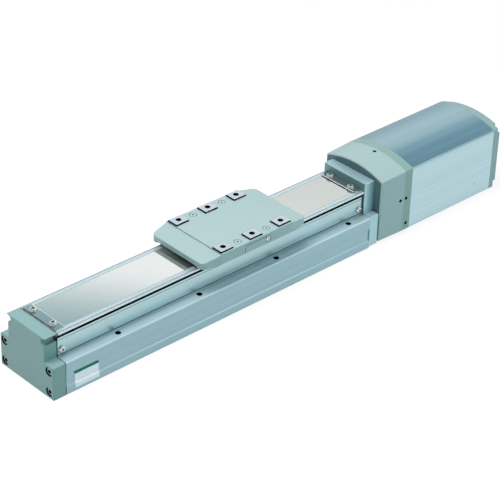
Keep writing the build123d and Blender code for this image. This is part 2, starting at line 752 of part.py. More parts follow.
def bearing_lock_nut():
    limits = (FIXED_REAR, FIXED_REAR + LOCK_NUT_LENGTH)
    shape = tube_x(limits, LOCK_NUT_OUT, FIXED_SHAFT)
    notch = block(limits, centred(LOCK_NUT_NOTCH), (LOCK_NUT_OUT - LOCK_NUT_NOTCH, LOCK_NUT_OUT))
    for turn in (0, 90, 180, 270):
        shape -= Pos(0, 0, AXIS_Z) * Rot(turn, 0, 0) * notch
    return shape


def end_bumpers():
    front = (TAIL_REAR, TAIL_REAR + BUMPER_LENGTH)
    rear = (FIXED_FRONT - BUMPER_LENGTH, FIXED_FRONT)
    return group(tube_x(limits, BUMPER_IN + BUMPER_WALL, BUMPER_IN) for limits in (front, rear))


# Guide rails with side grooves for the balls
def guide_rails():
    half = RAIL_WIDTH / 2
    top = FLOOR_TOP + RAIL_HEIGHT
    middle = top - RAIL_GROOVE_DROP
    outline = mirrored_outline([
        (0, FLOOR_TOP),
        (half, FLOOR_TOP),
        (half, middle - RAIL_GROOVE),
        (half - RAIL_GROOVE, middle),
        (half, middle + RAIL_GROOVE),
        (half, top),
        (0, top),
    ])
    shape = along_x(outline, (TAIL_REAR + RAIL_END_GAP, FIXED_FRONT - RAIL_END_GAP))
    return group(Pos(0, side * RAIL_Y, 0) * shape for side in SIDES)


# Two blocks on each rail
def guide_blocks():
    half = RAIL_WIDTH / 2 + GUIDE_GAP
    side = GUIDE_WIDTH / 2
    roof = FLOOR_TOP + RAIL_HEIGHT + GUIDE_GAP
    outline = mirrored_outline([
        (0, roof),
        (half, roof),
        (half, FLOOR_TOP + GUIDE_LIFT),
        (side, FLOOR_TOP + GUIDE_LIFT),
        (side, SADDLE_BOTTOM),
        (0, SADDLE_BOTTOM),
    ])
    outline = chamfer(corners(outline, side, SADDLE_BOTTOM), GUIDE_EDGE)
    blocks = []
    for end in SIDES:
        middle = TABLE_X + end * GUIDE_OFFSET
        ends = (middle - GUIDE_LENGTH / 2, middle + GUIDE_LENGTH / 2)
        shape = Pos(0, -RAIL_Y, 0) * along_x(outline, ends)
        blocks += [shape, far_side(shape)]
    return group(blocks)


def table_span(half):
    return (TABLE_X - half, TABLE_X + half)


# Saddle between the guide blocks and the arms, bored for the nut
def saddle():
    ends = table_span(SADDLE_HALF_LENGTH)
    shape = block(ends, centred(SADDLE_HALF), (SADDLE_BOTTOM, SADDLE_TOP))
    shape -= rod_x(ends, 0, AXIS_Z, SCREW_RADIUS + SADDLE_BORE_ROOM)
    nut_room = (ends[0], ends[0] + NUT_LENGTH - NUT_FLANGE + NUT_ROOM)
    return shape - rod_x(nut_room, 0, AXIS_Z, NUT_RADIUS + SEAT_FIT)


def ball_nut():
    front = TABLE_X - SADDLE_HALF_LENGTH - NUT_FLANGE
    flange_span = (front, front + NUT_FLANGE)
    body_span = (front, front + NUT_LENGTH)
    flats = (AXIS_Z - NUT_FLAT, AXIS_Z + NUT_FLAT)
    flange = rod_x(flange_span, 0, AXIS_Z, NUT_FLANGE_RADIUS)
    flange &= block(flange_span, centred(NUT_FLANGE_RADIUS), flats)
    shape = flange + rod_x(body_span, 0, AXIS_Z, NUT_RADIUS)
    return shape - rod_x(body_span, 0, AXIS_Z, SCREW_RADIUS + RUN_FIT)


def table_screw_points():
    return [
        (TABLE_X + end * TABLE_SCREW_X, side * TABLE_SCREW_Y) for end in SIDES for side in SIDES]


# Arm from the saddle out through the slot and up to the slider plate
def side_arm():
    outline = make_face(Polyline(
        (-ARM_FLANGE_IN, SADDLE_TOP),
        (-ARM_WEB_OUT, SADDLE_TOP),
        (-ARM_WEB_OUT, ARM_PAD_BOTTOM),
        (-ARM_PAD_OUT, ARM_PAD_BOTTOM),
        (-ARM_PAD_OUT, TABLE_BOTTOM),
        (-ARM_WEB_IN, TABLE_BOTTOM),
        (-ARM_WEB_IN, ARM_FLANGE_TOP),
        (-ARM_FLANGE_IN, ARM_FLANGE_TOP),
        close=True))
    outline = fillet(corners(outline, ARM_WEB_OUT, SADDLE_TOP), ARM_EDGE)
    shape = along_x(outline, table_span(ARM_HALF_LENGTH))
    for x, y in table_screw_points():
        if y < 0:
            shape -= rod_z((ARM_PAD_BOTTOM, TABLE_BOTTOM), x, y, M4_LOW["shank"] + THREAD_FIT)
    return shape


def pad_points():
    return [(TABLE_X + row * PAD_PITCH, side * PAD_Y) for row in (-1, 0, 1) for side in SIDES]


# Machined plate whose six threaded pads carry the load
def slider_plate():
    length = table_span(TABLE_HALF_LENGTH - TABLE_END_WALL - PLATE_FIT)
    half = TABLE_HALF - TABLE_WALL - PLATE_FIT
    top = TABLE_TOP - TABLE_ROOF - PLATE_FIT
    shape = block(length, centred(half), (TABLE_BOTTOM, top))
    shape -= block(length, centred(TUNNEL_HALF), (TABLE_BOTTOM, TUNNEL_TOP))
    pad = block(centred(PAD_LENGTH / 2), centred(PAD_WIDTH / 2), (top, PAD_TOP))
    pad = chamfer(pad.edges().group_by(Axis.Z)[-1], PAD_EDGE)
    for x, y in pad_points():
        shape += Pos(x, y, 0) * pad
    for x, y in pad_points():
        shape -= rod_z((PAD_TOP - PAD_HOLE_DEPTH, PAD_TOP), x, y, PAD_HOLE_RADIUS)
    for x, y in table_screw_points():
        shape -= rod_z((TABLE_BOTTOM, top), x, y, M4_LOW["shank"] + HOLE_FIT)
    return shape


# Painted cover over the slider plate with windows for the pads
def table_cover():
    whole = table_span(TABLE_HALF_LENGTH)
    inner = table_span(TABLE_HALF_LENGTH - TABLE_END_WALL)
    roof = TABLE_TOP - TABLE_ROOF
    shape = block(whole, centred(TABLE_HALF), (TABLE_BOTTOM, TABLE_TOP))
    shape = chamfer(shape.faces().sort_by(Axis.Z)[-1].edges(), TABLE_EDGE)
    shape -= block(inner, centred(TABLE_HALF - TABLE_WALL), (TABLE_BOTTOM, roof))
    shape -= block(whole, centred(TUNNEL_HALF), (TABLE_BOTTOM, TUNNEL_TOP))
    for x, y in pad_points():
        x_range = (x - PAD_LENGTH / 2 - WINDOW_GAP, x + PAD_LENGTH / 2 + WINDOW_GAP)
        y_range = (y - PAD_WIDTH / 2 - WINDOW_GAP, y + PAD_WIDTH / 2 + WINDOW_GAP)
        shape -= block(x_range, y_range, (roof - WINDOW_GAP, TABLE_TOP))
    for x, y in table_screw_points():
        shape -= rod_z((roof, TABLE_TOP), x, y, M4_LOW["shank"] + HOLE_FIT)
        shape -= rod_z((TABLE_SCREW_SEAT, TABLE_TOP), x, y, M4_LOW["head"] + TABLE_SCREW_RING)
    return shape - grease_recess()


def table_screws():
    screw = turned_screw(M4_LOW, TABLE_SCREW_SEAT - ARM_PAD_BOTTOM - END_GAP)
    return group(Pos(x, y, TABLE_SCREW_SEAT) * screw for x, y in table_screw_points())


# Wedge with tapered plan, sloped roof and round corners, its joint face at x = 0
def wedge(inset):
    length = END_PIECE_LENGTH - inset
    plan = make_face(Polyline(
        (0, -TABLE_HALF + inset),
        (0, TABLE_HALF - inset),
        (-length, END_PIECE_RIM_HALF - inset),
        (-length, -END_PIECE_RIM_HALF + inset),
        close=True))
    plan = fillet(plan.vertices().group_by(Axis.X)[0], END_PIECE_CORNER - inset)
    profile = make_face(Polyline(
        (0, TABLE_BOTTOM),
        (0, END_PIECE_TOP - inset),
        (-length, END_PIECE_RIM - inset),
        (-length, TABLE_BOTTOM),
        close=True))
    solid = extrude(Pos(0, 0, TABLE_BOTTOM) * plan, TABLE_HEIGHT)
    return solid & extrude(Plane.XZ * profile, TABLE_HALF, both=True)


# Hollow end piece with an arch over the band
def table_end():
    shape = wedge(0)
    above = [
        e for e in shape.edges()
        if e.center().Z > END_PIECE_RIM - END_PIECE_EDGE and e.center().X < -END_PIECE_EDGE / 8]
    shape = fillet(above, END_PIECE_EDGE)
    joint_wall = block((-END_PIECE_WALL, 0), centred(TABLE_HALF), (TABLE_BOTTOM, TABLE_TOP))
    shape -= wedge(END_PIECE_WALL) - joint_wall
    rim = (-END_PIECE_LENGTH, -END_PIECE_LENGTH + END_PIECE_CORNER)
    shape -= block(rim, centred(TUNNEL_HALF + END_PIECE_FLARE), (TABLE_BOTTOM, TUNNEL_TOP))
    return shape - block((-END_PIECE_LENGTH, 0), centred(TUNNEL_HALF), (TABLE_BOTTOM, TUNNEL_TOP))


def table_end_front():
    return Pos(TABLE_X - TABLE_HALF_LENGTH, 0, 0) * table_end()


def table_end_rear():
    return Pos(TABLE_X + TABLE_HALF_LENGTH, 0, 0) * mirror(table_end(), Plane.YZ)


# Outline of the grease port cover, grown for its recess in the table
def grease_outline(grow, y_range):
    x_range = (TABLE_X - GREASE_FRONT - grow, TABLE_X + GREASE_REAR)
    shape = block(x_range, y_range, (TABLE_BOTTOM, TABLE_TOP - GREASE_DROP + grow))
    corner = shape.edges().filter_by(Axis.Y).group_by(Axis.Z)[-1].sort_by(Axis.X)[0]
    return fillet(corner, GREASE_CORNER + grow)


def grease_screw_hole(depth, radius):
    limits = (-TABLE_HALF, -TABLE_HALF + depth)
    return rod_y(limits, TABLE_X + GREASE_REAR, TABLE_BOTTOM + GREASE_SCREW_RISE, radius)


def grease_recess():
    head_room = M3_BUTTON["head"] + GREASE_SCREW_ROOM
    recess = grease_outline(COVER_GAP, (-TABLE_HALF, -TABLE_HALF + GREASE_THICKNESS))
    recess += grease_screw_hole(GREASE_SCREW_SEAT, head_room)
    return recess + grease_screw_hole(TABLE_WALL, M3_BUTTON["shank"] + THREAD_FIT)


# Flush cover of the grease port on the near side of the table
def grease_cover():
    shape = grease_outline(0, (-TABLE_HALF, -TABLE_HALF + GREASE_THICKNESS))
    return shape - grease_screw_hole(GREASE_THICKNESS, M3_BUTTON["head"] + GREASE_SCREW_ROOM)


def grease_cover_screw():
    y = -TABLE_HALF + GREASE_SCREW_SEAT
    seat = Pos(TABLE_X + GREASE_REAR, y, TABLE_BOTTOM + GREASE_SCREW_RISE)
    return seat * HEAD_NEAR * turned_screw(M3_BUTTON, TABLE_WALL - GREASE_SCREW_SEAT)


# Drive flange: lower plate on the base's end and the raised block above it
def drive_flange():
    span = (FLANGE_BLOCK_FRONT, FLANGE_BLOCK_REAR)
    in_base = (FLANGE_BLOCK_FRONT, BASE_REAR)
    upper = block(span, centred(FLANGE_BLOCK_HALF), (FLANGE_TOP, FLANGE_BLOCK_TOP))
    upper = fillet(upper.edges().filter_by(Axis.Z).group_by(Axis.X)[0], FLANGE_BLOCK_EDGE)
    upper = chamfer(upper.faces().sort_by(Axis.Z)[-1].edges(), FLANGE_BLOCK_CHAMFER)
    kerb = KERB_TOP + FLANGE_KERB_GAP
    upper -= block(in_base, centred(FLANGE_BLOCK_HALF), (FLANGE_TOP, kerb))
    upper -= block(in_base, centred(CAVITY_HALF), (FLANGE_TOP, TOP_COVER_INNER))
    lower = block((BASE_REAR, FLANGE_REAR), centred(HALF_WIDTH), (FLANGE_BOTTOM, FLANGE_TOP))
    lower = fillet(lower.edges().filter_by(Axis.X).group_by(Axis.Z)[-1], LEDGE_EDGE)
    return upper + lower - rod_x(span, 0, AXIS_Z, FLANGE_BORE)


def housing_front_plate():
    limits = (FLANGE_BLOCK_REAR, FRONT_PLATE_REAR)
    shape = along_x(arch_outline(HOUSING_OUTLINE, FRONT_PLATE_INSET), limits)
    return shape - rod_x(limits, 0, AXIS_Z, HUB_RADIUS + PLATE_ROOM)


def side_holes(x, z, depth, radius):
    near = rod_y((-MOTOR_HALF, -MOTOR_HALF + depth), x, z, radius)
    return near + far_side(near)


# Drafted housing round the coupling
def adapter_housing():
    front = Plane.YZ.offset(HOUSING_FRONT) * arch_outline(HOUSING_OUTLINE)
    rear = Plane.YZ.offset(HOUSING_REAR) * arch_outline(MOTOR_OUTLINE)
    shape = loft([front, rear], ruled=True)
    shape = fillet(shape.faces().sort_by(Axis.X)[0].edges(), HOUSING_RIM)
    seat = arch_outline(HOUSING_OUTLINE, FRONT_PLATE_INSET - PLATE_FIT)
    shape -= along_x(seat, (HOUSING_FRONT, FRONT_PLATE_REAR))
    shape -= rod_x((HOUSING_FRONT, HOUSING_REAR), 0, AXIS_Z, HUB_BORE)
    top_hole = (MOTOR_CROWN - HOUSING_HOLE_DEPTH, MOTOR_CROWN)
    shape -= rod_z(top_hole, HOUSING_REAR - HOUSING_TOP_HOLE_END, 0, HOUSING_HOLE_RADIUS)
    x = HOUSING_REAR - HOUSING_SIDE_HOLE_END
    return shape - side_holes(x, HOUSING_SIDE_HOLE_Z, HOUSING_HOLE_DEPTH, HOUSING_HOLE_RADIUS)


def motor_ring():
    shape = along_x(arch_outline(MOTOR_OUTLINE), (HOUSING_REAR, RING_REAR))
    shape -= rod_x((HOUSING_REAR, RING_REAR), 0, AXIS_Z, HUB_BORE)
    shape -= rod_x((RING_REAR - MOTOR_PILOT_LENGTH, RING_REAR), 0, AXIS_Z, MOTOR_PILOT + SEAT_FIT)
    for offset, z in RING_HOLES:
        shape -= side_holes(HOUSING_REAR + offset, z, RING_HOLE_DEPTH, RING_HOLE_RADIUS)
    return shape


def port_points():
    levels = (MOTOR_BOTTOM + PORT_RISE, MOTOR_SHOULDER - PORT_DROP)
    return [(side * (MOTOR_HALF - PORT_EDGE), z) for side in SIDES for z in levels]


# Motor cover: arched tube with a screw port in each corner
def motor_cover():
    limits = (RING_REAR, COVER_REAR)
    room = along_x(arch_outline(MOTOR_OUTLINE, COVER_WALL, COVER_INNER_CORNER), limits)
    room -= [rod_x(limits, y, z, PORT_RADIUS) for y, z in port_points()]
    shape = along_x(arch_outline(MOTOR_OUTLINE), limits) - room
    tapped = (COVER_REAR - PORT_DEPTH, COVER_REAR)
    return shape - [rod_x(tapped, y, z, M3_CAP["shank"] + THREAD_FIT) for y, z in port_points()]


def gland_points():
    return [(side * GLAND_Y, GLAND_Z) for side in SIDES]


# Rear cap in two steps, the second notched at its corners for the screws
def rear_cap():
    step = (CAP_FLANGE_REAR, CAP_REAR)
    panel = along_x(arch_outline(MOTOR_OUTLINE, CAP_INSET), step)
    low, high = CAP_MIDDLE
    for edge in ((-MOTOR_HALF, -CAP_NOTCH_Y), (CAP_NOTCH_Y, MOTOR_HALF)):
        panel -= block(step, edge, (0, low))
        panel -= block(step, edge, (high, MOTOR_CROWN))
    shape = along_x(arch_outline(MOTOR_OUTLINE), (COVER_REAR, CAP_FLANGE_REAR)) + panel
    shape -= block(
        (COVER_REAR, COVER_REAR + CAP_POCKET_DEPTH),
        centred(CAP_NOTCH_Y - CAP_POCKET_MARGIN),
        (low, high - CAP_POCKET_MARGIN))
    for y, z in port_points():
        shape -= rod_x((COVER_REAR, CAP_FLANGE_REAR), y, z, M3_CAP["shank"] + HOLE_FIT)
    for y, z in gland_points():
        shape -= rod_x((COVER_REAR, CAP_REAR), y, z, GLAND_RADIUS + THREAD_FIT)
    return shape


def rear_cap_screws():
    screw = turned_screw(M3_CAP, CAP_SCREW_LENGTH)
    return group(Pos(CAP_FLANGE_REAR, y, z) * HEAD_REAR * screw for y, z in port_points())


def cable_glands():
    glands = []
    collar_end = CAP_REAR + GLAND_HEX_LENGTH
    end = collar_end + GLAND_NUT_LENGTH
    for y, z in gland_points():
        hexagon = RegularPolygon(GLAND_HEX / 2, 6, major_radius=False)
        collar = extrude(Plane(origin=(CAP_REAR, y, z), z_dir=(1, 0, 0)) * hexagon, GLAND_HEX_LENGTH)
        spigot = rod_x((COVER_REAR + CAP_POCKET_DEPTH, CAP_REAR), y, z, GLAND_RADIUS)
        nut = rod_x((collar_end, end), y, z, GLAND_NUT_RADIUS)
        glands.append(spigot + collar + nut - rod_x((COVER_REAR, end), y, z, GLAND_BORE))
    return group(glands)


# Servo motor: square flange with its pilot, and the body behind it
def motor_body():
    half = MOTOR_SQUARE / 2
    levels = (AXIS_Z - half, AXIS_Z + half)
    flange = block((RING_REAR, MOTOR_FLANGE_REAR), centred(half), levels)
    flange = fillet(flange.edges().filter_by(Axis.X), MOTOR_EDGE)
    body = block((MOTOR_FLANGE_REAR, MOTOR_BODY_REAR), centred(half), levels)
    body = chamfer(body.edges().filter_by(Axis.X), MOTOR_BODY_CUT)
    front = RING_REAR - MOTOR_PILOT_LENGTH
    pilot = rod_x((front, RING_REAR), 0, AXIS_Z, MOTOR_PILOT)
    bore = (front, MOTOR_SHAFT_REAR + SHAFT_SPARE)
    return flange + body + pilot - rod_x(bore, 0, AXIS_Z, MOTOR_SHAFT + RUN_FIT)


def encoder_cover():
    half = ENCODER_SQUARE / 2
    limits = (MOTOR_BODY_REAR, COVER_REAR - ENCODER_REAR_GAP)
    shape = block(limits, centred(half), (AXIS_Z - half, AXIS_Z + half))
    return chamfer(shape.edges().filter_by(Axis.X), MOTOR_EDGE)


def motor_shaft():
    return rod_x((SPIDER_REAR + SHAFT_SPARE, MOTOR_SHAFT_REAR), 0, AXIS_Z, MOTOR_SHAFT)


# Ball screw with its journals
def ball_screw():
    shoulder = TAIL_REAR + SCREW_SHOULDER
    nut_end = FIXED_REAR + LOCK_NUT_LENGTH
    shape = rod_x((TAIL_BEARING[0] - SCREW_TAIL_SPARE, shoulder), 0, AXIS_Z, TAIL_SHAFT)
    shape += rod_x((shoulder, FIXED_BEARING[0]), 0, AXIS_Z, SCREW_RADIUS)
    shape += rod_x((FIXED_BEARING[0], nut_end), 0, AXIS_Z, FIXED_SHAFT)
    return shape + rod_x((nut_end, SPIDER_FRONT), 0, AXIS_Z, TAIL_SHAFT)


# Sector of a ring about the axis, used for the coupling's jaws
def jaw(angle, extra=0.0):
    half = math.radians(JAW_ANGLE / 2)
    reach = 2 * HUB_RADIUS
    sector = make_face(Polyline(
        (0, 0),
        (reach * math.cos(half), reach * math.sin(half)),
        (reach * math.cos(half), -reach * math.sin(half)),
        close=True))
    piece = Circle(HUB_RADIUS + extra) - Circle(JAW_INNER)
    piece = Rot(0, 0, angle) * (piece & sector)
    return Pos(0, 0, AXIS_Z) * along_x(piece, (SPIDER_FRONT, SPIDER_REAR))


def coupling_hub(limits, bore, first_angle):
    shape = tube_x(limits, HUB_RADIUS, bore)
    for number in range(JAW_COUNT):
        shape += jaw(first_angle + number * 360 / JAW_COUNT)
    return shape


def coupling_hub_screw():
    return coupling_hub((SPIDER_FRONT - HUB_LENGTH, SPIDER_FRONT), TAIL_SHAFT, 0)


def coupling_hub_motor():
    return coupling_hub((SPIDER_REAR, SPIDER_REAR + HUB_LENGTH), MOTOR_SHAFT, 180 / JAW_COUNT)


# Cross of the coupling, left between the jaws of both hubs
def coupling_spider():
    shape = tube_x((SPIDER_FRONT, SPIDER_REAR), HUB_RADIUS - SPIDER_INSET, SPIDER_BORE)
    for number in range(2 * JAW_COUNT):
        shape -= jaw(number * 180 / JAW_COUNT, JAW_ROOM)
    return shape


# Thin plate that follows the recess of the base
def nameplate():
    recess = HALF_WIDTH - RECESS_DEPTH
    path = [
        (HALF_WIDTH, RECESS_LOW - NAMEPLATE_DROP),
        (HALF_WIDTH, RECESS_LOW - RECESS_DEPTH),
        (recess, RECESS_LOW),
        (recess, RECESS_HIGH - NAMEPLATE_TOP_GAP),
    ]
    outer = [(-y - NAMEPLATE_THICKNESS, z) for y, z in path]
    inner = [(-y, z) for y, z in reversed(path)]
    front = BASE_FRONT + NAMEPLATE_FRONT
    return along_x(
        make_face(Polyline(*outer, *inner, close=True)), (front, front + NAMEPLATE_LENGTH))


PARTS = {
    "base_extrusion": base_extrusion,
    "side_cover_near": side_cover,
    "side_cover_far": lambda: far_side(side_cover()),
    "side_cover_screws": side_cover_screws,
    "top_cover": top_cover,
    "stainless_band": stainless_band,
    "band_clamp_front": band_clamp_front,
    "band_clamp_rear": band_clamp_rear,
    "band_clamp_screws": band_clamp_screws,
    "end_cover": end_cover,
    "end_cover_gasket": end_cover_gasket,
    "end_cover_screws": end_cover_screws,
    "tail_bearing_block": tail_bearing_block,
    "tail_bearing_outer_ring": tail_bearing_outer_ring,
    "bearing_housing": bearing_housing,
    "fixed_bearing_outer_rings": fixed_bearing_outer_rings,
    "bearing_retainer": bearing_retainer,
    "end_bumpers": end_bumpers,
    "guide_rails": guide_rails,
    "drive_flange": drive_flange,
    "housing_front_plate": housing_front_plate,
    "adapter_housing": adapter_housing,
    "motor_ring": motor_ring,
    "motor_cover": motor_cover,
    "rear_cap": rear_cap,
    "rear_cap_screws": rear_cap_screws,
    "cable_glands": cable_glands,
    "motor_body": motor_body,
    "encoder_cover": encoder_cover,
    "nameplate": nameplate,
    "slider_plate": slider_plate,
    "table_cover": table_cover,
    "table_screws": table_screws,
    "table_end_front": table_end_front,
    "table_end_rear": table_end_rear,
    "grease_cover": grease_cover,
    "grease_cover_screw": grease_cover_screw,
    "arm_near": side_arm,
    "arm_far": lambda: far_side(side_arm()),
    "saddle": saddle,
    "guide_blocks": guide_blocks,
    "ball_nut": ball_nut,
    "ball_screw": ball_screw,
    "tail_bearing_inner_ring": tail_bearing_inner_ring,
    "fixed_bearing_inner_rings": fixed_bearing_inner_rings,
    "bearing_lock_nut": bearing_lock_nut,
    "coupling_hub_screw": coupling_hub_screw,
    "coupling_spider": coupling_spider,
    "coupling_hub_motor": coupling_hub_motor,
    "motor_shaft": motor_shaft,
}

os.makedirs("parts", exist_ok=True)
for name, make in PARTS.items():
    export_step(make(), f"parts/{name}.step")
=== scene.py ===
import json
import math

import bmesh
import bpy
from mathutils import Matrix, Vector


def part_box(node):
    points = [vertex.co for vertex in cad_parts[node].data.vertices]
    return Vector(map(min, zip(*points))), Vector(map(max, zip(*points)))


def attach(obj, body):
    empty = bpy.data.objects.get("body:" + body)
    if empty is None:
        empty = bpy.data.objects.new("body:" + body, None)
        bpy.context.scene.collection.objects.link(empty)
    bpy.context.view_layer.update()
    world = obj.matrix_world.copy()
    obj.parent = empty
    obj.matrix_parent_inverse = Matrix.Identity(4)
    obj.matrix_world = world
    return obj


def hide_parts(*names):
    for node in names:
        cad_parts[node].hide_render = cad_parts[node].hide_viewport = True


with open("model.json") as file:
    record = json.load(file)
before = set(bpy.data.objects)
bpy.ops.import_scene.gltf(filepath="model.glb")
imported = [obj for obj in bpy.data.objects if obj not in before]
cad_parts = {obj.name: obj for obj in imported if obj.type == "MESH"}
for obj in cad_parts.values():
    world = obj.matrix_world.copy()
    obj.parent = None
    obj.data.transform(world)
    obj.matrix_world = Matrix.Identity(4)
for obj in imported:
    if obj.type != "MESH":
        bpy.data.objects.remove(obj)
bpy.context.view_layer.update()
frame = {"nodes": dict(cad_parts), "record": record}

# Camera at the photograph's place
CAMERA_PLACE = (-1.1111, -1.2317, 1.0960)
CAMERA_TURN = (57.972, -1.608, -42.687)
CAMERA_LENS = 146.56
CAMERA_SENSOR = 36
CAMERA_REACH = 50

# Fine relief and margins, and half widths of the painted shade and highlight lines that the
# finishes draw, in metres
HAIR = 0.0001
LINE_HALF = 0.0003
JOINT_HALF = 0.0004
JOINT_MARGIN = 0.0002
END_FACE_MARGIN = 0.0002
EDGE_HALF = 0.0006

# Places and sizes on the part that the finishes need, in metres
CAVITY_HALF = 0.0263
SLOT_LOW = 0.0556
SLOT_HIGH = 0.0594
LIP_GROOVE_Y = 0.0269
KERB_TOP = 0.0368
SIDE_LINE_Z = 0.0532
RECESS_LINE_Z = 0.0220
LEDGE_TOP = 0.0352
LEDGE_ROUND_Y = 0.0376
LEDGE_ROUND_Z = 0.0338
LEDGE_HOLE_START = -0.1293
LEDGE_HOLE_PITCH = 0.100
LEDGE_HOLE_Y = 0.0321
LEDGE_HOLE_EDGE = 0.00295
PAD_HOLE_START = -0.0005
PAD_HOLE_PITCH = 0.0375
PAD_HOLE_Y = 0.0320
PAD_HOLE_EDGE = 0.0029
END_SCREW_Y = 0.0328
END_SCREW_LEVELS = (0.0066, 0.0289)
END_WELL_EDGE = 0.0048
TABLE_EDGE = 0.0006
GREASE_COVER_CORNER = (0.0217, 0.0717)
GREASE_COVER_ROUND = 0.0040
GREASE_COVER_FACE = -0.0385
GREASE_COVER_REAR = 0.0500
CLAMP_EDGE = 0.0004
HOUSING_TOP_HOLE_X = 0.2373
HOUSING_SIDE_HOLE = (0.2370, 0.0404)
RING_HOLES = ((0.2451, 0.0407), (0.2472, 0.0105))
SMALL_HOLE_EDGE = 0.0019
COVER_PIN_HOLE = (0.3529, 0.0176)
COVER_PIN_HOLE_RADIUS = 0.0007
PLATE_GREEN_LINE = 0.0178
PLATE_FOLD = 0.0086


# Linear colour from one in the 0 to 255 steps of a screen
def linear(red, green, blue):
    channels = []
    for value in (red, green, blue):
        value /= 255
        channels.append(value / 12.92 if value <= 0.04045 else ((value + 0.055) / 1.055) ** 2.4)
    return (*channels, 1.0)


# Colours laid over the finishes: painted shade, painted highlights, painted light, the
# nameplate's print, and white
PAINTED_SHADE_BLACK = linear(20, 26, 30)
GROOVE_PAINTED_SHADE = linear(92, 124, 132)
LEDGE_EDGE_PAINTED_HIGHLIGHT = linear(196, 214, 219)
LEDGE_PAINTED_LIGHT = linear(172, 197, 205)
FLANGE_FACE_PAINTED_SHADE = linear(120, 154, 156)
GREASE_GAP_PAINTED_SHADE = linear(70, 92, 90)
TABLE_JOINT_PAINTED_SHADE = linear(96, 122, 120)
CLAMP_EDGE_PAINTED_HIGHLIGHT = linear(216, 224, 226)
PLATE_FOLD_PAINTED_HIGHLIGHT = linear(248, 252, 253)
PLATE_GREEN = linear(0, 108, 82)
WHITE = (1.0, 1.0, 1.0, 1.0)

# Positions of the two shades in a pattern, and sockets of a colour mix
SHADE_STOPS = (0.3, 0.7)
MIX_SHARE = 0
MIX_BELOW = 6
MIX_ABOVE = 7
MIX_RESULT = 2


# Shader nodes of a finish or of the studio walls
class Shading:
    def __init__(self, tree):
        self.tree = tree

    def add(self, kind, **values):
        node = self.tree.nodes.new(kind)
        for name, value in values.items():
            if name in node.inputs:
                node.inputs[name].default_value = value
            else:
                setattr(node, name, value)
        return node

    def link(self, source, target):
        self.tree.links.new(source, target)

    # One step of arithmetic on sockets and plain numbers
    def math(self, operation, *values):
        node = self.add("ShaderNodeMath", operation=operation)
        for socket, value in zip(node.inputs, values):
            if isinstance(value, (int, float)):
                socket.default_value = value
            else:
                self.link(value, socket)
        return node.outputs["Value"]

    # Value carried over from one range to another
    def ranged(self, value, start, end, low, high):
        node = self.add("ShaderNodeMapRange")
        limits = {"From Min": start, "From Max": end, "To Min": low, "To Max": high}
        for socket, limit in limits.items():
            node.inputs[socket].default_value = limit
        self.link(value, node.inputs["Value"])
        return node.outputs["Result"]

    # Shader that turns from the first into the second with the share
    def mix_shaders(self, share, first, second):
        mix = self.add("ShaderNodeMixShader")
        for socket, source in zip(mix.inputs, (share, first, second)):
            self.link(source, socket)
        return mix.outputs["Shader"]


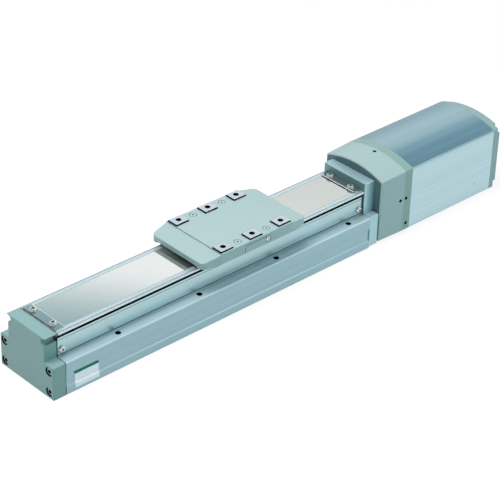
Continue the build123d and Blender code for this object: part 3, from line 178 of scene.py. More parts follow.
# Finish: starts from a principled shader and object coordinates
class Finish(Shading):
    def __init__(self, name, colour, metallic=0.0, roughness=0.4, **sockets):
        self.material = bpy.data.materials.new(name)
        self.material.use_nodes = True
        super().__init__(self.material.node_tree)
        self.shader = self.tree.nodes["Principled BSDF"]
        self.shader.inputs["Base Color"].default_value = colour
        self.shader.inputs["Metallic"].default_value = metallic
        self.shader.inputs["Roughness"].default_value = roughness
        for socket, value in sockets.items():
            self.shader.inputs[socket.replace("_", " ")].default_value = value
        self.colour = colour
        self.coordinates = self.add("ShaderNodeTexCoord")

    # Pattern with its own fineness along each axis
    def noise(self, scale, detail=3.0):
        mapping = self.add("ShaderNodeMapping", Scale=scale)
        self.link(self.coordinates.outputs["Object"], mapping.inputs["Vector"])
        node = self.add("ShaderNodeTexNoise", Scale=1.0, Detail=detail)
        self.link(mapping.outputs["Vector"], node.inputs["Vector"])
        return node.outputs["Fac"]

    # Pattern that is as fine along all three axes
    def grain(self, fineness, detail=3.0):
        return self.noise((fineness, fineness, fineness), detail)

    def axis(self, letter):
        node = self.add("ShaderNodeSeparateXYZ")
        self.link(self.coordinates.outputs["Object"], node.inputs["Vector"])
        return node.outputs[letter]

    # Distance from the middle plane, the same on the near and the far side
    def across(self):
        return self.math("ABSOLUTE", self.axis("Y"))

    def squared(self, offs):
        return self.math("ADD", *[self.math("MULTIPLY", off, off) for off in offs])

    # Colour moves between two shades of the base colour with a pattern
    def shade(self, pattern, low, high):
        ramp = self.add("ShaderNodeValToRGB")
        for stop, position, share in zip(ramp.color_ramp.elements, SHADE_STOPS, (low, high)):
            stop.position = position
            stop.color = tuple(channel * share for channel in self.colour[:3]) + (1.0,)
        self.link(pattern, ramp.inputs["Fac"])
        self.link(ramp.outputs["Color"], self.shader.inputs["Base Color"])
        return ramp.outputs["Color"]

    # A second colour laid over the first where the mask is one
    def overlay(self, below, mask, colour):
        mix = self.add("ShaderNodeMix", data_type="RGBA")
        self.link(mask, mix.inputs[MIX_SHARE])
        self.link(below, mix.inputs[MIX_BELOW])
        mix.inputs[MIX_ABOVE].default_value = colour
        self.link(mix.outputs[MIX_RESULT], self.shader.inputs["Base Color"])
        return mix.outputs[MIX_RESULT]

    # Painted shade inside a hole or gap: black, with no gloss of its own
    def paint_black_shade(self, below, mask):
        metallic = self.shader.inputs["Metallic"]
        share = self.math("MAXIMUM", mask, metallic.default_value)
        self.link(share, metallic)
        return self.overlay(below, mask, PAINTED_SHADE_BLACK)

    # Mask of a narrow stripe across one axis
    def stripe(self, place, middle, half):
        off = self.math("ABSOLUTE", self.math("SUBTRACT", place, middle))
        return self.math("LESS_THAN", off, half)

    # Mask of a round spot about one place on two axes
    def spot(self, first, second, radius):
        offs = [self.math("SUBTRACT", place, middle) for place, middle in (first, second)]
        return self.math("LESS_THAN", self.squared(offs), radius ** 2)

    def vary_roughness(self, pattern, low, high):
        self.link(self.ranged(pattern, 0.0, 1.0, low, high), self.shader.inputs["Roughness"])

    # Bump from a pattern, with softened edges where they are given
    def relief(self, pattern, strength, distance=HAIR, edge=0.0):
        node = self.add("ShaderNodeBump", Strength=strength, Distance=distance)
        self.link(pattern, node.inputs["Height"])
        if edge:
            soft = self.add("ShaderNodeBevel", samples=8, Radius=edge)
            self.link(soft.outputs["Normal"], node.inputs["Normal"])
        self.link(node.outputs["Normal"], self.shader.inputs["Normal"])


# Mask of the cavity between the side covers, where black shade is painted
def cavity_mask(finish):
    return finish.math("LESS_THAN", finish.across(), CAVITY_HALF + HAIR)


# Mask of the walls of holes in two rows along X, where black shade is painted
def hole_mask(finish, start, pitch, row, edge):
    along = finish.math("SUBTRACT", finish.axis("X"), start - pitch / 2)
    turn = finish.math("WRAP", along, pitch, 0.0)
    return finish.spot((turn, pitch / 2), (finish.across(), row), edge)


# Extruded aluminium, with fine lines along X
def aluminium(name, colour, metallic=0.72, roughness=0.32):
    finish = Finish(name, colour, metallic, roughness)
    lines = finish.noise((2, 1500, 1500), 2.0)
    tone = finish.shade(finish.noise((9, 60, 60)), 0.98, 1.02)
    finish.vary_roughness(lines, roughness - 0.04, roughness + 0.04)
    finish.relief(lines, 0.02)
    return finish, tone


# Side covers: painted shade on a groove line, painted black shade in the kerb joint, cavity and
# slot
def anodised_aluminium():
    finish, tone = aluminium("anodised_aluminium", linear(184, 210, 213))
    height = finish.axis("Z")
    tone = finish.overlay(tone, finish.stripe(height, SIDE_LINE_Z, LINE_HALF), GROOVE_PAINTED_SHADE)
    joint = finish.stripe(height, KERB_TOP + JOINT_MARGIN, JOINT_HALF)
    slot = finish.math("GREATER_THAN", height, SLOT_LOW)
    dark = finish.math("MAXIMUM", joint, cavity_mask(finish))
    finish.paint_black_shade(tone, finish.math("MAXIMUM", dark, slot))
    return finish.material


# Top cover: painted shade on a groove line along each lip, painted black shade below the lips
def lip_aluminium():
    finish, tone = aluminium("lip_aluminium", linear(209, 224, 227), 0.65, 0.24)
    groove = finish.stripe(finish.across(), LIP_GROOVE_Y, LINE_HALF)
    tone = finish.overlay(tone, groove, GROOVE_PAINTED_SHADE)
    finish.paint_black_shade(tone, finish.math("LESS_THAN", finish.axis("Z"), SLOT_HIGH))
    return finish.material


# Base: ledge tops painted paler as light, with a painted highlight on their rounded edge,
# painted shade on the recess line, and painted black shade in holes, cavity and joint
def base_aluminium():
    finish, tone = aluminium("base_aluminium", linear(158, 186, 193), 0.45, 0.30)
    height = finish.axis("Z")
    tone = finish.overlay(tone, finish.stripe(height, LEDGE_TOP, HAIR), LEDGE_PAINTED_LIGHT)
    outer = finish.math("GREATER_THAN", finish.across(), LEDGE_ROUND_Y)
    upper = finish.math("GREATER_THAN", height, LEDGE_ROUND_Z)
    tone = finish.overlay(tone, finish.math("MULTIPLY", outer, upper), LEDGE_EDGE_PAINTED_HIGHLIGHT)
    tone = finish.overlay(tone, finish.stripe(height, RECESS_LINE_Z, LINE_HALF), GROOVE_PAINTED_SHADE)
    holes = hole_mask(
        finish, LEDGE_HOLE_START, LEDGE_HOLE_PITCH, LEDGE_HOLE_Y, LEDGE_HOLE_EDGE)
    dark = finish.math("MAXIMUM", holes, cavity_mask(finish))
    joint = finish.math("GREATER_THAN", height, KERB_TOP - JOINT_MARGIN)
    finish.paint_black_shade(tone, finish.math("MAXIMUM", dark, joint))
    return finish.material


# Drive flange: the cut end face towards the band is painted darker than the rest, as shade
def flange_aluminium():
    finish = Finish("flange_aluminium", linear(172, 204, 209), 0.5, 0.38)
    cuts = finish.noise((500, 500, 6), 2.0)
    tone = finish.shade(cuts, 0.95, 1.05)
    end = finish.stripe(finish.axis("X"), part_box("drive_flange")[0][0], END_FACE_MARGIN)
    finish.overlay(tone, end, FLANGE_FACE_PAINTED_SHADE)
    finish.vary_roughness(cuts, 0.32, 0.44)
    finish.relief(cuts, 0.10, distance=0.0002, edge=0.0006)
    return finish.material


# Paint, with a clear coat and a fine grain
def paint(name, colour):
    finish = Finish(name, colour, 0.0, 0.42, Coat_Weight=0.35, Coat_Roughness=0.3)
    tone = finish.shade(finish.grain(25), 0.985, 1.015)
    finish.relief(finish.grain(1500, 2.0), 0.06, edge=0.0007)
    return finish, tone


# Mask of the gap along the front and top edges of the grease cover, where shade is painted
def grease_gap_mask(finish):
    x, z = GREASE_COVER_CORNER
    along = finish.axis("X")
    past_x = finish.math("SUBTRACT", x + GREASE_COVER_ROUND, along)
    past_z = finish.math("SUBTRACT", finish.axis("Z"), z - GREASE_COVER_ROUND)
    offs = [finish.math("MAXIMUM", past, 0.0) for past in (past_x, past_z)]
    reach = finish.math("SQRT", finish.squared(offs))
    line = finish.stripe(reach, GREASE_COVER_ROUND + JOINT_MARGIN, LINE_HALF)
    near = finish.math("LESS_THAN", finish.axis("Y"), GREASE_COVER_FACE)
    before = finish.math("LESS_THAN", along, GREASE_COVER_REAR)
    return finish.math("MULTIPLY", line, finish.math("MULTIPLY", near, before))


# Table and housing: painted shade in the table's gap and joints, black shade in the housing's
# small holes
def painted_metal():
    finish, tone = paint("painted_metal", linear(153, 177, 176))
    tone = finish.overlay(tone, grease_gap_mask(finish), GREASE_GAP_PAINTED_SHADE)
    along = finish.axis("X")
    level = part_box("table_cover")[1][2] - TABLE_EDGE
    top = finish.math("GREATER_THAN", finish.axis("Z"), level)
    for end in (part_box("table_cover")[0][0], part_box("table_cover")[1][0]):
        joint = finish.math("MULTIPLY", finish.stripe(along, end, JOINT_HALF), top)
        tone = finish.overlay(tone, joint, TABLE_JOINT_PAINTED_SHADE)
    top_hole = finish.spot((along, HOUSING_TOP_HOLE_X), (finish.axis("Y"), 0.0), SMALL_HOLE_EDGE)
    x, z = HOUSING_SIDE_HOLE
    side_hole = finish.spot((along, x), (finish.axis("Z"), z), SMALL_HOLE_EDGE)
    finish.paint_black_shade(tone, finish.math("MAXIMUM", top_hole, side_hole))
    return finish.material


# End cover: a darker copy of the paint, as painted shade, and painted black shade in the wells
# of its screws
def end_cover_shaded_paint():
    finish, tone = paint("end_cover_shaded_paint", linear(120, 155, 152))
    across = finish.across()
    height = finish.axis("Z")
    wells = [
        finish.spot((across, END_SCREW_Y), (height, level), END_WELL_EDGE)
        for level in END_SCREW_LEVELS]
    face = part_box("end_cover")[0][0] + END_FACE_MARGIN
    inside = finish.math("GREATER_THAN", finish.axis("X"), face)
    finish.paint_black_shade(tone, finish.math("MULTIPLY", finish.math("MAXIMUM", *wells), inside))
    return finish.material


def cap_paint():
    return paint("cap_paint", linear(134, 162, 160))[0].material


# Motor ring: painted black shade in its side holes
def ring_coating():
    finish, tone = paint("ring_coating", linear(128, 160, 152))
    along = finish.axis("X")
    height = finish.axis("Z")
    holes = [
        finish.spot((along, x), (height, z), SMALL_HOLE_EDGE) for x, z in RING_HOLES]
    finish.paint_black_shade(tone, finish.math("MAXIMUM", *holes))
    return finish.material


# Motor cover: brushed along X, with one small dot of painted black shade on its side, for a pin
# hole
def brushed_cover():
    finish = Finish("brushed_cover", linear(178, 206, 213), 0.94, 0.24)
    streaks = finish.noise((1.5, 180, 180), 6.0)
    tone = finish.shade(streaks, 0.94, 1.03)
    x, z = COVER_PIN_HOLE
    pin_hole_shade = finish.spot((finish.axis("X"), x), (finish.axis("Z"), z), COVER_PIN_HOLE_RADIUS)
    finish.paint_black_shade(tone, pin_hole_shade)
    finish.vary_roughness(streaks, 0.19, 0.29)
    finish.relief(streaks, 0.08)
    return finish.material


def stainless_steel():
    finish = Finish("stainless_steel", linear(226, 226, 221), 0.95, 0.06)
    rolled = finish.noise((8, 500, 500))
    finish.shade(rolled, 0.98, 1.02)
    finish.vary_roughness(rolled, 0.05, 0.08)
    finish.relief(rolled, 0.004)
    return finish.material


# Band clamps: painted highlights along the edges by the band, painted black shade on the rear
# one's end face
def clamp_metal():
    metallic = 0.9
    highlight_metallic = 0.1
    finish = Finish("clamp_metal", linear(172, 190, 190), metallic, 0.10)
    tone = finish.shade(finish.grain(90), 0.97, 1.03)
    along = finish.axis("X")
    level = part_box("band_clamp_rear")[1][2] - CLAMP_EDGE
    top = finish.math("GREATER_THAN", finish.axis("Z"), level)
    ends = (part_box("band_clamp_front")[1][0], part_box("band_clamp_rear")[0][0])
    edges = finish.math("MAXIMUM", *[finish.stripe(along, end, EDGE_HALF) for end in ends])
    edges = finish.math("MULTIPLY", edges, top)
    tone = finish.overlay(tone, edges, CLAMP_EDGE_PAINTED_HIGHLIGHT)
    below = finish.math("SUBTRACT", 1.0, top)
    face = finish.math("MULTIPLY", finish.stripe(along, ends[1], JOINT_HALF), below)
    finish.overlay(tone, face, PAINTED_SHADE_BLACK)
    # Less metallic on the painted highlights, so that their pale colour shows
    share = finish.math("MULTIPLY_ADD", edges, highlight_metallic - metallic, metallic)
    finish.link(share, finish.shader.inputs["Metallic"])
    finish.relief(finish.noise((900, 60, 60), 2.0), 0.04, edge=0.0002)
    return finish.material


# Flush screws of the table: painted faces, painted black shade below them
def painted_screws():
    finish = Finish("painted_screws", linear(160, 184, 184), 0.0, 0.42)
    tone = finish.shade(finish.grain(400), 0.95, 1.03)
    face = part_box("table_screws")[1][2] - HAIR
    finish.paint_black_shade(tone, finish.math("LESS_THAN", finish.axis("Z"), face))
    finish.relief(finish.grain(1500), 0.08)
    return finish.material


# Milled aluminium, with fine cuts that lie side by side along Y
def milled(name, colour, metallic, roughness, shades, edge):
    finish = Finish(name, colour, metallic, roughness)
    cuts = finish.noise((60, 1400, 60), 2.0)
    tone = finish.shade(cuts, *shades)
    finish.relief(cuts, 0.10, edge=edge)
    return finish, tone


def machined_aluminium():
    look = (linear(178, 188, 192), 0.8, 0.34)
    return milled("machined_aluminium", *look, shades=(0.95, 1.04), edge=0.0002)[0].material


# Slider plate: ground pad faces, painted black shade in their holes and below them
def pad_metal():
    look = (linear(222, 228, 235), 0.75, 0.28)
    finish, tone = milled("pad_metal", *look, shades=(0.96, 1.03), edge=0.0001)
    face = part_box("slider_plate")[1][2] - HAIR
    below = finish.math("LESS_THAN", finish.axis("Z"), face)
    holes = hole_mask(finish, PAD_HOLE_START, PAD_HOLE_PITCH, PAD_HOLE_Y, PAD_HOLE_EDGE)
    finish.paint_black_shade(tone, finish.math("MAXIMUM", below, holes))
    return finish.material


def bearing_steel():
    finish = Finish("bearing_steel", linear(170, 174, 178), 1.0, 0.22)
    ground = finish.noise((20, 1200, 1200), 2.0)
    finish.shade(ground, 0.92, 1.05)
    finish.relief(ground, 0.06)
    return finish.material


# Foil of the nameplate: a green band above a bare silver field with a painted highlight along
# its fold
def plate_foil():
    finish = Finish("plate_foil", linear(214, 226, 231), 0.6, 0.42)
    bare = finish.shade(finish.grain(160), 0.97, 1.02)
    height = finish.axis("Z")
    tone = finish.overlay(bare, finish.stripe(height, PLATE_FOLD, EDGE_HALF), PLATE_FOLD_PAINTED_HIGHLIGHT)
    above = finish.math("GREATER_THAN", height, PLATE_GREEN_LINE)
    finish.overlay(tone, above, PLATE_GREEN)
    finish.relief(finish.grain(1500), 0.03)
    return finish.material


FINISHES = [
    anodised_aluminium,
    lip_aluminium,
    base_aluminium,
    flange_aluminium,
    painted_metal,
    end_cover_shaded_paint,
    cap_paint,
    ring_coating,
    brushed_cover,
    stainless_steel,
    clamp_metal,
    painted_screws,
    machined_aluminium,
    pad_metal,
    bearing_steel,
    plate_foil,
]

# Plain finishes: colour, metallic, roughness, mottle and its shades, pores, their depth, edge
GRAINED = {
    "bright_screws": (linear(228, 231, 226), 0.75, 0.24, 700, (0.92, 1.05), 1200, 0.05, 0.0002),
    "steel_screws": (linear(150, 164, 166), 0.8, 0.36, 500, (0.85, 1.1), 1200, 0.06, 0.0),
    "dark_plate": (linear(84, 110, 115), 0.3, 0.40, 40, (0.92, 1.06), 900, 0.08, 0.0003),
    "black_rubber": (linear(38, 44, 46), 0.0, 0.7, 200, (0.8, 1.2), 2000, 0.2, 0.0),
    "motor_black": (linear(34, 36, 38), 0.2, 0.45, 120, (0.8, 1.2), 1200, 0.15, 0.0),
    "spider_plastic": (linear(176, 52, 38), 0.0, 0.35, 150, (0.92, 1.05), 900, 0.06, 0.0),
    "gland_plastic": (linear(52, 56, 58), 0.0, 0.5, 260, (0.85, 1.12), 1800, 0.15, 0.0),
    # Painted black shade in the recesses of screws and the mouths of glands
    "recess_black": (PAINTED_SHADE_BLACK, 1.0, 0.6, 500, (0.8, 1.3), 1500, 0.1, 0.0),
}

# Nodes whose finish is a variety of their slot's
VARIETIES = {
    "base_extrusion": "base_aluminium",
    "top_cover": "lip_aluminium",
    "drive_flange": "flange_aluminium",
    "end_cover": "end_cover_shaded_paint",
    "rear_cap": "cap_paint",
    "slider_plate": "pad_metal",
}


def grained(name, colour, metallic, roughness, mottle, shades, pores, depth, edge):
    finish = Finish(name, colour, metallic, roughness)
    finish.shade(finish.grain(mottle), *shades)
    finish.relief(finish.grain(pores), depth, edge=edge)
    return finish.material


def dress_nodes(finishes):
    for part in frame["record"]["subparts"]:
        node = frame["nodes"][part["node"]]
        finish = VARIETIES.get(part["node"], part["material_slot"])
        for slot in node.material_slots:
            slot.material = finishes[finish]


# Distance within which two points are one, and angle from which an edge stays sharp
SAME_PLACE = 0.000001
SHARP_EDGE = math.radians(35)


# Finished mesh of a new piece: it rides on its body and takes a slot's finish
def place_piece(name, mesh, body, slot, finishes):
    bmesh.ops.remove_doubles(mesh, verts=mesh.verts, dist=SAME_PLACE)
    bmesh.ops.recalc_face_normals(mesh, faces=mesh.faces)
    data = bpy.data.meshes.new(name)
    mesh.to_mesh(data)
    mesh.free()
    data.shade_smooth()
    data.set_sharp_from_angle(angle=SHARP_EDGE)
    data.materials.append(finishes[slot])
    # Second finish: painted black shade for recesses
    data.materials.append(finishes["recess_black"])
    piece = bpy.data.objects.new(name, data)
    bpy.context.scene.collection.objects.link(piece)
    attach(piece, body)
    return piece


# Profile of radius and height turned about the axis
def turn_profile(mesh, profile, steps=32):
    corners = [mesh.verts.new((radius, 0, height)) for radius, height in profile]
    edges = [mesh.edges.new(pair) for pair in zip(corners, corners[1:])]
    bmesh.ops.spin(
        mesh,
        geom=corners + edges,
        cent=(0, 0, 0),
        axis=(0, 0, 1),
        angle=math.tau,
        steps=steps,
        use_merge=True)


# Outline of a hexagon socket, by the radius to its corners
def hexagon(radius):
    return [
        (radius * math.cos(turn), radius * math.sin(turn))
        for turn in (math.tau * number / 6 for number in range(6))]


# Outline of a cross recess, by the reach and the half width of its arms
def cross(reach, half):
    arms = []
    for number in range(4):
        turn = math.tau * number / 4
        for x, y in ((half, -half), (reach, -half), (reach, half)):
            arms.append((x * math.cos(turn) - y * math.sin(turn),
                         x * math.sin(turn) + y * math.cos(turn)))
    return arms


# Screw with a driven recess: the profile runs from the rim of the head's flat down to the tip
def recessed_screw(profile, recess, depth):
    mesh = bmesh.new()
    top = profile[0][1]
    turn_profile(mesh, profile)
    bmesh.ops.remove_doubles(mesh, verts=mesh.verts, dist=SAME_PLACE)
    rim = [
        edge for edge in mesh.edges
        if edge.is_boundary and all(abs(v.co.z - top) < SAME_PLACE for v in edge.verts)]
    corners = [mesh.verts.new((x, y, top)) for x, y in recess]
    mouth = [mesh.edges.new(pair) for pair in zip(corners, corners[1:] + corners[:1])]
    bmesh.ops.triangle_fill(mesh, use_beauty=True, edges=rim + mouth, normal=(0, 0, 1))
    outside = set(mesh.faces)
    walls = bmesh.ops.extrude_edge_only(mesh, edges=mouth)["geom"]
    floor_corners = [part for part in walls if isinstance(part, bmesh.types.BMVert)]
    bmesh.ops.translate(mesh, verts=floor_corners, vec=(0, 0, -depth))
    floor_edges = [part for part in walls if isinstance(part, bmesh.types.BMEdge)]
    bottom = [edge for edge in floor_edges if all(v in floor_corners for v in edge.verts)]
    bmesh.ops.triangle_fill(mesh, use_beauty=True, edges=bottom, normal=(0, 0, 1))
    # The recess takes the second finish, painted black shade
    for face in set(mesh.faces) - outside:
        face.material_index = 1
    return mesh


# Copies of one mesh, each put in place by its matrix
def repeat_mesh(mesh, places):
    pattern = bpy.data.meshes.new("pattern")
    mesh.to_mesh(pattern)
    mesh.free()
    whole = bmesh.new()
    for place in places:
        start = len(whole.verts)
        whole.from_mesh(pattern)
        whole.verts.ensure_lookup_table()
        bmesh.ops.transform(whole, matrix=place, verts=whole.verts[start:])
    bpy.data.meshes.remove(pattern)
    return whole


# Matrix of a place and of turns in degrees
def turned(place, turn_x=0, turn_y=0, turn_z=0):
    matrix = Matrix.Translation(place)
    matrix = matrix @ Matrix.Rotation(math.radians(turn_x), 4, "X")
    matrix = matrix @ Matrix.Rotation(math.radians(turn_y), 4, "Y")
    return matrix @ Matrix.Rotation(math.radians(turn_z), 4, "Z")


# Middles of four heads in the corners of their box, on two of its axes
def corner_spots(low, high, head, first, second):
    return [
        (one, other)
        for one in (low[first] + head, high[first] - head)
        for other in (low[second] + head, high[second] - head)]


# Shank radii of the screws and the bevels of their tips
M3_SHANK = 0.0015
M4_SHANK = 0.0020
M5_SHANK = 0.0025
TIP_BEVEL = 0.0004
CAP_TIP_BEVEL = 0.0005

# Pan head: radius and height of its crown above the seat, from the flat down
PAN_HEAD = 0.0040
PAN_CROWN = [
    (0.0023, 0.0027),
    (0.0030, 0.0025),
    (0.0036, 0.0018),
    (0.0039, 0.0009),
    (PAN_HEAD, 0.0002),
    (0.0039, 0.0),
]
PAN_CROSS_REACH = 0.0021
PAN_CROSS_HALF = 0.00055
PAN_CROSS_DEPTH = 0.0013

# Button head: its crown in shares of radius and height, and the socket's share of the height
BUTTON_CROWN = [(0.52, 1.0), (0.72, 0.93), (0.9, 0.66), (0.98, 0.34), (1.0, 0.08), (0.98, 0.0)]
BUTTON_SOCKET_SHARE = 0.6

# Cap head: its edge, rounded in two steps, and the socket's share of the height
CAP_EDGE = 0.0006
CAP_EDGE_STEP = 0.0002
CAP_SOCKET_SHARE = 0.55


# Shank from the seat down to the bevelled tip
def shank_profile(shank, seat, tip, bevel=TIP_BEVEL):
    return [(shank, seat), (shank, tip + bevel), (shank - bevel, tip), (0, tip)]


# Pan-head screws of the band clamps
def band_clamp_screws(finishes):
    low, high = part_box("band_clamp_screws")
    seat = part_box("band_clamp_front")[1][2]
    profile = [(radius, seat + height) for radius, height in PAN_CROWN]
    profile += shank_profile(M4_SHANK, seat, low[2])
    mesh = recessed_screw(profile, cross(PAN_CROSS_REACH, PAN_CROSS_HALF), PAN_CROSS_DEPTH)
    spots = corner_spots(low, high, PAN_HEAD, 0, 1)
    turns = (20, 65, 40, 80)
    places = [turned((x, y, 0), turn_z=turn) for (x, y), turn in zip(spots, turns)]
    piece = place_piece(
        "clamp_pan_heads", repeat_mesh(mesh, places), "base", "bright_screws", finishes)
    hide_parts("band_clamp_screws")


# Button-head screw along its own axis, seat at zero
def button_screw(head, height, shank, length, socket):
    profile = [(head * radius, height * level) for radius, level in BUTTON_CROWN]
    profile += shank_profile(shank, 0, -length)
    return recessed_screw(profile, hexagon(socket), height * BUTTON_SOCKET_SHARE)


def side_cover_screws(finishes):
    low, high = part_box("side_cover_screws")
    head = 0.0038
    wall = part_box("side_cover_near")[0][1]
    mesh = button_screw(head, height=0.0022, shank=M4_SHANK, length=0.0100, socket=0.0013)
    spots = [low[0] + head, high[0] - head]
    level = (low[2] + high[2]) / 2
    near = [turned((x, wall, level), turn_x=90, turn_z=12) for x in spots]
    far = [turned((x, -wall, level), turn_x=-90, turn_z=12) for x in spots]
    piece = place_piece(
        "side_button_heads", repeat_mesh(mesh, near + far), "base", "bright_screws", finishes)
    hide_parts("side_cover_screws")


def grease_cover_screw(finishes):
    low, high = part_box("grease_cover_screw")
    head = 0.0027
    grip = 0.0011
    height = high[1] - low[1] - grip
    mesh = button_screw(head, height, shank=M3_SHANK, length=grip, socket=0.0009)
    middle = ((low[0] + high[0]) / 2, high[1] - grip, (low[2] + high[2]) / 2)
    piece = place_piece(
        "grease_button_head", repeat_mesh(mesh, [turned(middle, turn_x=90)]), "carriage",
        "bright_screws", finishes)
    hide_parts("grease_cover_screw")


# Cap-head screw along its own axis, seat at zero
def cap_screw(head, height, shank, length, socket):
    profile = [
        (head - CAP_EDGE, height),
        (head - CAP_EDGE_STEP, height - CAP_EDGE_STEP),
        (head, height - CAP_EDGE),
        (head, 0)]
    profile += shank_profile(shank, 0, -length, CAP_TIP_BEVEL)
    return recessed_screw(profile, hexagon(socket), height * CAP_SOCKET_SHARE)


def end_cover_screws(finishes):
    low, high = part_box("end_cover_screws")
    head = 0.00425
    height = 0.0050
    length = high[0] - low[0] - height
    mesh = cap_screw(head, height, M5_SHANK, length, socket=0.0023)
    spots = corner_spots(low, high, head, 1, 2)
    turns = (10, 25, 5, 40)
    places = [
        turned((low[0] + height, y, z), turn_y=-90, turn_z=turn)
        for (y, z), turn in zip(spots, turns)]
    piece = place_piece(
        "end_cap_heads", repeat_mesh(mesh, places), "base", "steel_screws", finishes)
    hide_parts("end_cover_screws")


def rear_cap_screws(finishes):
    low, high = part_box("rear_cap_screws")
    head = 0.0027
    height = 0.0030
    length = high[0] - low[0] - height
    mesh = cap_screw(head, height, M3_SHANK, length, socket=0.00145)
    spots = corner_spots(low, high, head, 1, 2)
    turns = (15, 35, 5, 50)
    places = [
        turned((high[0] - height, y, z), turn_y=90, turn_z=turn)
        for (y, z), turn in zip(spots, turns)]
    piece = place_piece(
        "cap_socket_heads", repeat_mesh(mesh, places), "base", "steel_screws", finishes)
    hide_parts("rear_cap_screws")


def table_screws(finishes):
    low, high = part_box("table_screws")
    head = 0.0034
    height = 0.0016
    edge = 0.0003
    profile = [(head - edge, 0), (head, -edge), (head, -height)]
    profile += shank_profile(M4_SHANK, -height, low[2] - high[2])
    mesh = recessed_screw(profile, hexagon(0.0011), depth=0.0012)
    spots = corner_spots(low, high, head, 0, 1)
    turns = (0, 20, 45, 10)
    places = [turned((x, y, high[2]), turn_z=turn) for (x, y), turn in zip(spots, turns)]
    piece = place_piece(
        "flush_screws", repeat_mesh(mesh, places), "carriage", "painted_screws", finishes)
    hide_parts("table_screws")


# Cable gland: radii, edges and lengths of its stub, collar, dome nut and blind mouth
GLAND_STUB = 0.0060
GLAND_COLLAR = 0.00923
GLAND_COLLAR_FLAT = 0.0086
GLAND_COLLAR_EDGE = 0.0005
GLAND_COLLAR_LENGTH = 0.0050
GLAND_DOME = 0.0067
GLAND_DOME_EDGE = 0.0004
GLAND_MOUTH = 0.0032
GLAND_MOUTH_DEPTH = 0.0050

# Steps round the dome nut, and the reach along Y from a gland's middle to the side of their box
GLAND_STEPS = 40
GLAND_REACH = 0.00924

# Outline of the dome nut above the collar, and round its mouth measured from the tip
GLAND_DOME_SIDE = [
    (GLAND_DOME - GLAND_DOME_EDGE, 0.0),
    (GLAND_DOME, GLAND_DOME_EDGE),
    (GLAND_DOME, 0.0040),
    (0.0061, 0.0052),
]
GLAND_DOME_TIP = [
    (0.0050, -0.0003),
    (0.0044, 0.0),
    (0.0035, 0.0),
    (GLAND_MOUTH, -0.0004),
    (GLAND_MOUTH, -GLAND_MOUTH_DEPTH),
    (0, -GLAND_MOUTH_DEPTH),
]

# Ribs of the dome nut: height of their middle above the collar, with a margin, edge and depth
GLAND_RIB_LEVEL = 0.0022
GLAND_RIB_MARGIN = 0.0003
GLAND_RIB_EDGE = 0.00015
GLAND_RIB_DEPTH = 0.0003


# Cable glands: plain stub, hexagon collar and ribbed dome nut with a blind mouth
def cable_glands(finishes):
    low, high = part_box("cable_glands")
    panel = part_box("rear_cap")[1][0]
    collar = GLAND_COLLAR_LENGTH
    root = low[0] - panel
    tip = high[0] - panel
    mesh = bmesh.new()
    turn_profile(mesh, [(0, root), (GLAND_STUB, root), (GLAND_STUB, 0), (0, 0)])
    hexagon_profile = [
        (0, 0),
        (GLAND_COLLAR_FLAT, 0),
        (GLAND_COLLAR, GLAND_COLLAR_EDGE),
        (GLAND_COLLAR, collar - GLAND_COLLAR_EDGE),
        (GLAND_COLLAR_FLAT, collar),
        (0, collar)]
    turn_profile(mesh, hexagon_profile, 6)
    dome_profile = [(0, collar)]
    dome_profile += [(radius, collar + height) for radius, height in GLAND_DOME_SIDE]
    dome_profile += [(radius, tip + height) for radius, height in GLAND_DOME_TIP]
    turn_profile(mesh, dome_profile, GLAND_STEPS)
    grip = [
        face for face in mesh.faces
        if abs(face.calc_center_median().z - collar - GLAND_RIB_LEVEL) < GLAND_RIB_MARGIN
        and face.calc_center_median().xy.length > GLAND_DOME - GLAND_DOME_EDGE]
    grip.sort(key=lambda face: math.atan2(*face.calc_center_median().xy))
    bmesh.ops.inset_individual(
        mesh, faces=grip[::2], thickness=GLAND_RIB_EDGE, depth=GLAND_RIB_DEPTH)
    # The mouth takes the second finish, painted black shade
    for face in mesh.faces:
        middle = face.calc_center_median()
        if middle.xy.length < GLAND_MOUTH + HAIR and middle.z > tip - GLAND_MOUTH_DEPTH - HAIR:
            face.material_index = 1
    level = (low[2] + high[2]) / 2
    row = high[1] - GLAND_REACH
    places = [turned((panel, y, level), turn_y=90, turn_z=30) for y in (-row, row)]
    piece = place_piece(
        "gland_dome_nuts", repeat_mesh(mesh, places), "base", "gland_plastic", finishes)
    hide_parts("cable_glands")


DETAILS = [
    band_clamp_screws,
    side_cover_screws,
    grease_cover_screw,
    end_cover_screws,
    rear_cap_screws,
    table_screws,
    cable_glands,
]

# Floor: its half size, its paint as seen and as a bounce of light, and its glow
FLOOR_HALF = 6
FLOOR_SEEN = (0.64, 0.65, 0.66, 1.0)
FLOOR_BOUNCE = (0.24, 0.42, 0.45, 1.0)
FLOOR_GLOW = 1.14

# Fade of the floor in reflections: from one Y to the other, from the first share to the second
FLOOR_FADE = (0.2, 0.7, 1.0, 0.35)

# Growth of the glow with the distance from the middle: two distances and their shares
FLOOR_WHITE = (0.7, 2.5, 0.74, 1.0)


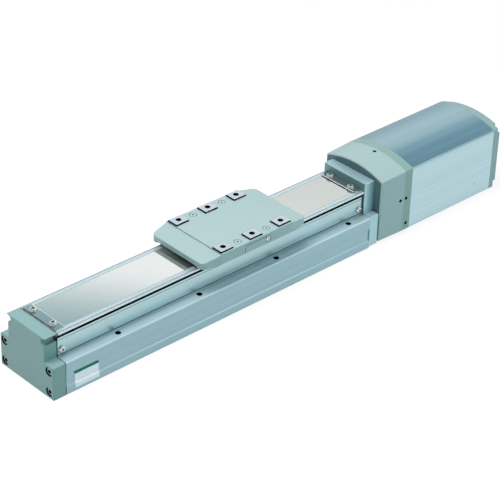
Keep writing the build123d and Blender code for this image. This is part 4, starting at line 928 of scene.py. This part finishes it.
# Pale floor: bright for the camera and in reflections, dimmer in the light that it throws
def lay_floor():
    mesh = bmesh.new()
    bmesh.ops.create_grid(mesh, x_segments=1, y_segments=1, size=FLOOR_HALF)
    data = bpy.data.meshes.new("floor")
    mesh.to_mesh(data)
    mesh.free()
    floor = bpy.data.objects.new("floor", data)
    bpy.context.scene.collection.objects.link(floor)
    finish = Finish("pale_floor", FLOOR_SEEN, 0.0, 0.9)
    path = finish.add("ShaderNodeLightPath")
    depth = finish.axis("Y")
    fade = finish.ranged(depth, *FLOOR_FADE)
    mirrored = finish.math("MULTIPLY", path.outputs["Is Glossy Ray"], fade)
    seen = finish.math("MAXIMUM", path.outputs["Is Camera Ray"], mirrored)
    plain = finish.shade(finish.grain(3), 0.99, 1.01)
    finish.overlay(plain, finish.math("SUBTRACT", 1.0, seen), FLOOR_BOUNCE)
    away = finish.math("SQRT", finish.squared([finish.axis("X"), depth]))
    share = finish.math("MULTIPLY", seen, finish.ranged(away, *FLOOR_WHITE))
    glow = finish.add("ShaderNodeEmission", Color=WHITE, Strength=FLOOR_GLOW)
    paint_shader = finish.shader.outputs["BSDF"]
    surface = finish.mix_shaders(share, paint_shader, glow.outputs["Emission"])
    finish.link(surface, finish.tree.nodes["Material Output"].inputs["Surface"])
    data.materials.append(finish.material)


# Softbox; a matt one lights the surfaces without being mirrored in them
def soft_light(name, place, turn, width, height, power, colour, matt=True):
    lamp = bpy.data.lights.new(name, "AREA")
    lamp.shape = "RECTANGLE"
    lamp.size = width
    lamp.size_y = height
    lamp.energy = power
    lamp.color = colour
    holder = bpy.data.objects.new(name, lamp)
    holder.location = place
    holder.rotation_euler = [math.radians(angle) for angle in turn]
    holder.visible_glossy = not matt
    bpy.context.scene.collection.objects.link(holder)


# Studio walls by height: a bright strip, dark just above it and pale again overhead
SKY = [
    (0.00, (0.28, 0.40, 0.46)),
    (0.25, (0.50, 0.60, 0.65)),
    (0.45, (0.78, 0.83, 0.84)),
    (0.590, (0.78, 0.83, 0.84)),
    (0.608, (0.88, 0.93, 0.95)),
    (0.630, (1.19, 1.22, 1.28)),
    (0.639, (0.79, 0.88, 0.93)),
    (0.646, (0.42, 0.61, 0.67)),
    (0.656, (0.24, 0.42, 0.49)),
    (0.720, (0.17, 0.31, 0.42)),
    (0.790, (0.17, 0.30, 0.40)),
    (1.000, (0.58, 0.66, 0.70)),
]

# Lean of the strip, which lies lower towards +Y
SKY_LEAN = 0.14

# The walls are dimmer towards -X and -Y: two directions on each axis and their shares of light
SKY_DARK_SIDE = (-0.35, 0.35, 0.36, 1.0)
SKY_NEAR_SIDE = (-0.7, 0.0, 0.60, 1.0)


def light_world():
    world = bpy.data.worlds.new("studio")
    bpy.context.scene.world = world
    world.use_nodes = True
    studio = Shading(world.node_tree)
    coordinates = studio.add("ShaderNodeTexCoord")
    split = studio.add("ShaderNodeSeparateXYZ")
    studio.link(coordinates.outputs["Generated"], split.inputs["Vector"])
    ramp = studio.add("ShaderNodeValToRGB")
    stops = ramp.color_ramp.elements
    while len(stops) < len(SKY):
        stops.new(0.5)
    for stop, (position, colour) in zip(stops, SKY):
        stop.position = position
        stop.color = (*colour, 1.0)
    height = studio.math("MULTIPLY_ADD", split.outputs["Y"], SKY_LEAN, split.outputs["Z"])
    studio.link(height, ramp.inputs["Fac"])
    dark_side = studio.ranged(split.outputs["X"], *SKY_DARK_SIDE)
    near_side = studio.ranged(split.outputs["Y"], *SKY_NEAR_SIDE)
    walls = studio.tree.nodes["Background"]
    studio.link(ramp.outputs["Color"], walls.inputs["Color"])
    studio.link(studio.math("MULTIPLY", dark_side, near_side), walls.inputs["Strength"])
    white = studio.add("ShaderNodeBackground", Color=WHITE)
    path = studio.add("ShaderNodeLightPath")
    surface = studio.mix_shaders(
        path.outputs["Is Camera Ray"], walls.outputs["Background"], white.outputs["Background"])
    studio.link(surface, studio.tree.nodes["World Output"].inputs["Surface"])


def light_scene():
    light_world()
    soft_light("top_box", (-0.5, 0.1, 1.6), (0, 0, 0), 1.2, 0.7, 34, (1.0, 0.92, 0.91))
    edge_colour = (1.0, 0.98, 0.97)
    soft_light("edge_box", (0.85, -0.86, 0.95), (50, 0, 42), 1.0, 0.35, 1.9, edge_colour, False)
    soft_light("front_box", (-1.5, 0.2, 0.3), (0, -80, 0), 0.8, 1.5, 3.6, (0.85, 1.0, 1.0))
    soft_light("rear_box", (0.7, -1.1, 0.3), (75, 0, 25), 1.5, 0.9, 7.0, (0.74, 1.0, 0.99))


def set_camera():
    data = bpy.data.cameras.new("camera")
    data.lens = CAMERA_LENS
    data.sensor_width = CAMERA_SENSOR
    data.clip_end = CAMERA_REACH
    camera = bpy.data.objects.new("camera", data)
    camera.location = CAMERA_PLACE
    camera.rotation_euler = [math.radians(angle) for angle in CAMERA_TURN]
    bpy.context.scene.collection.objects.link(camera)
    bpy.context.scene.camera = camera


materials = {make.__name__: make() for make in FINISHES}
for finish_name, look in GRAINED.items():
    materials[finish_name] = grained(finish_name, *look)
dress_nodes(materials)
for add_detail in DETAILS:
    add_detail(materials)
lay_floor()
light_scene()
set_camera()
bpy.context.scene.view_settings.view_transform = "Standard"
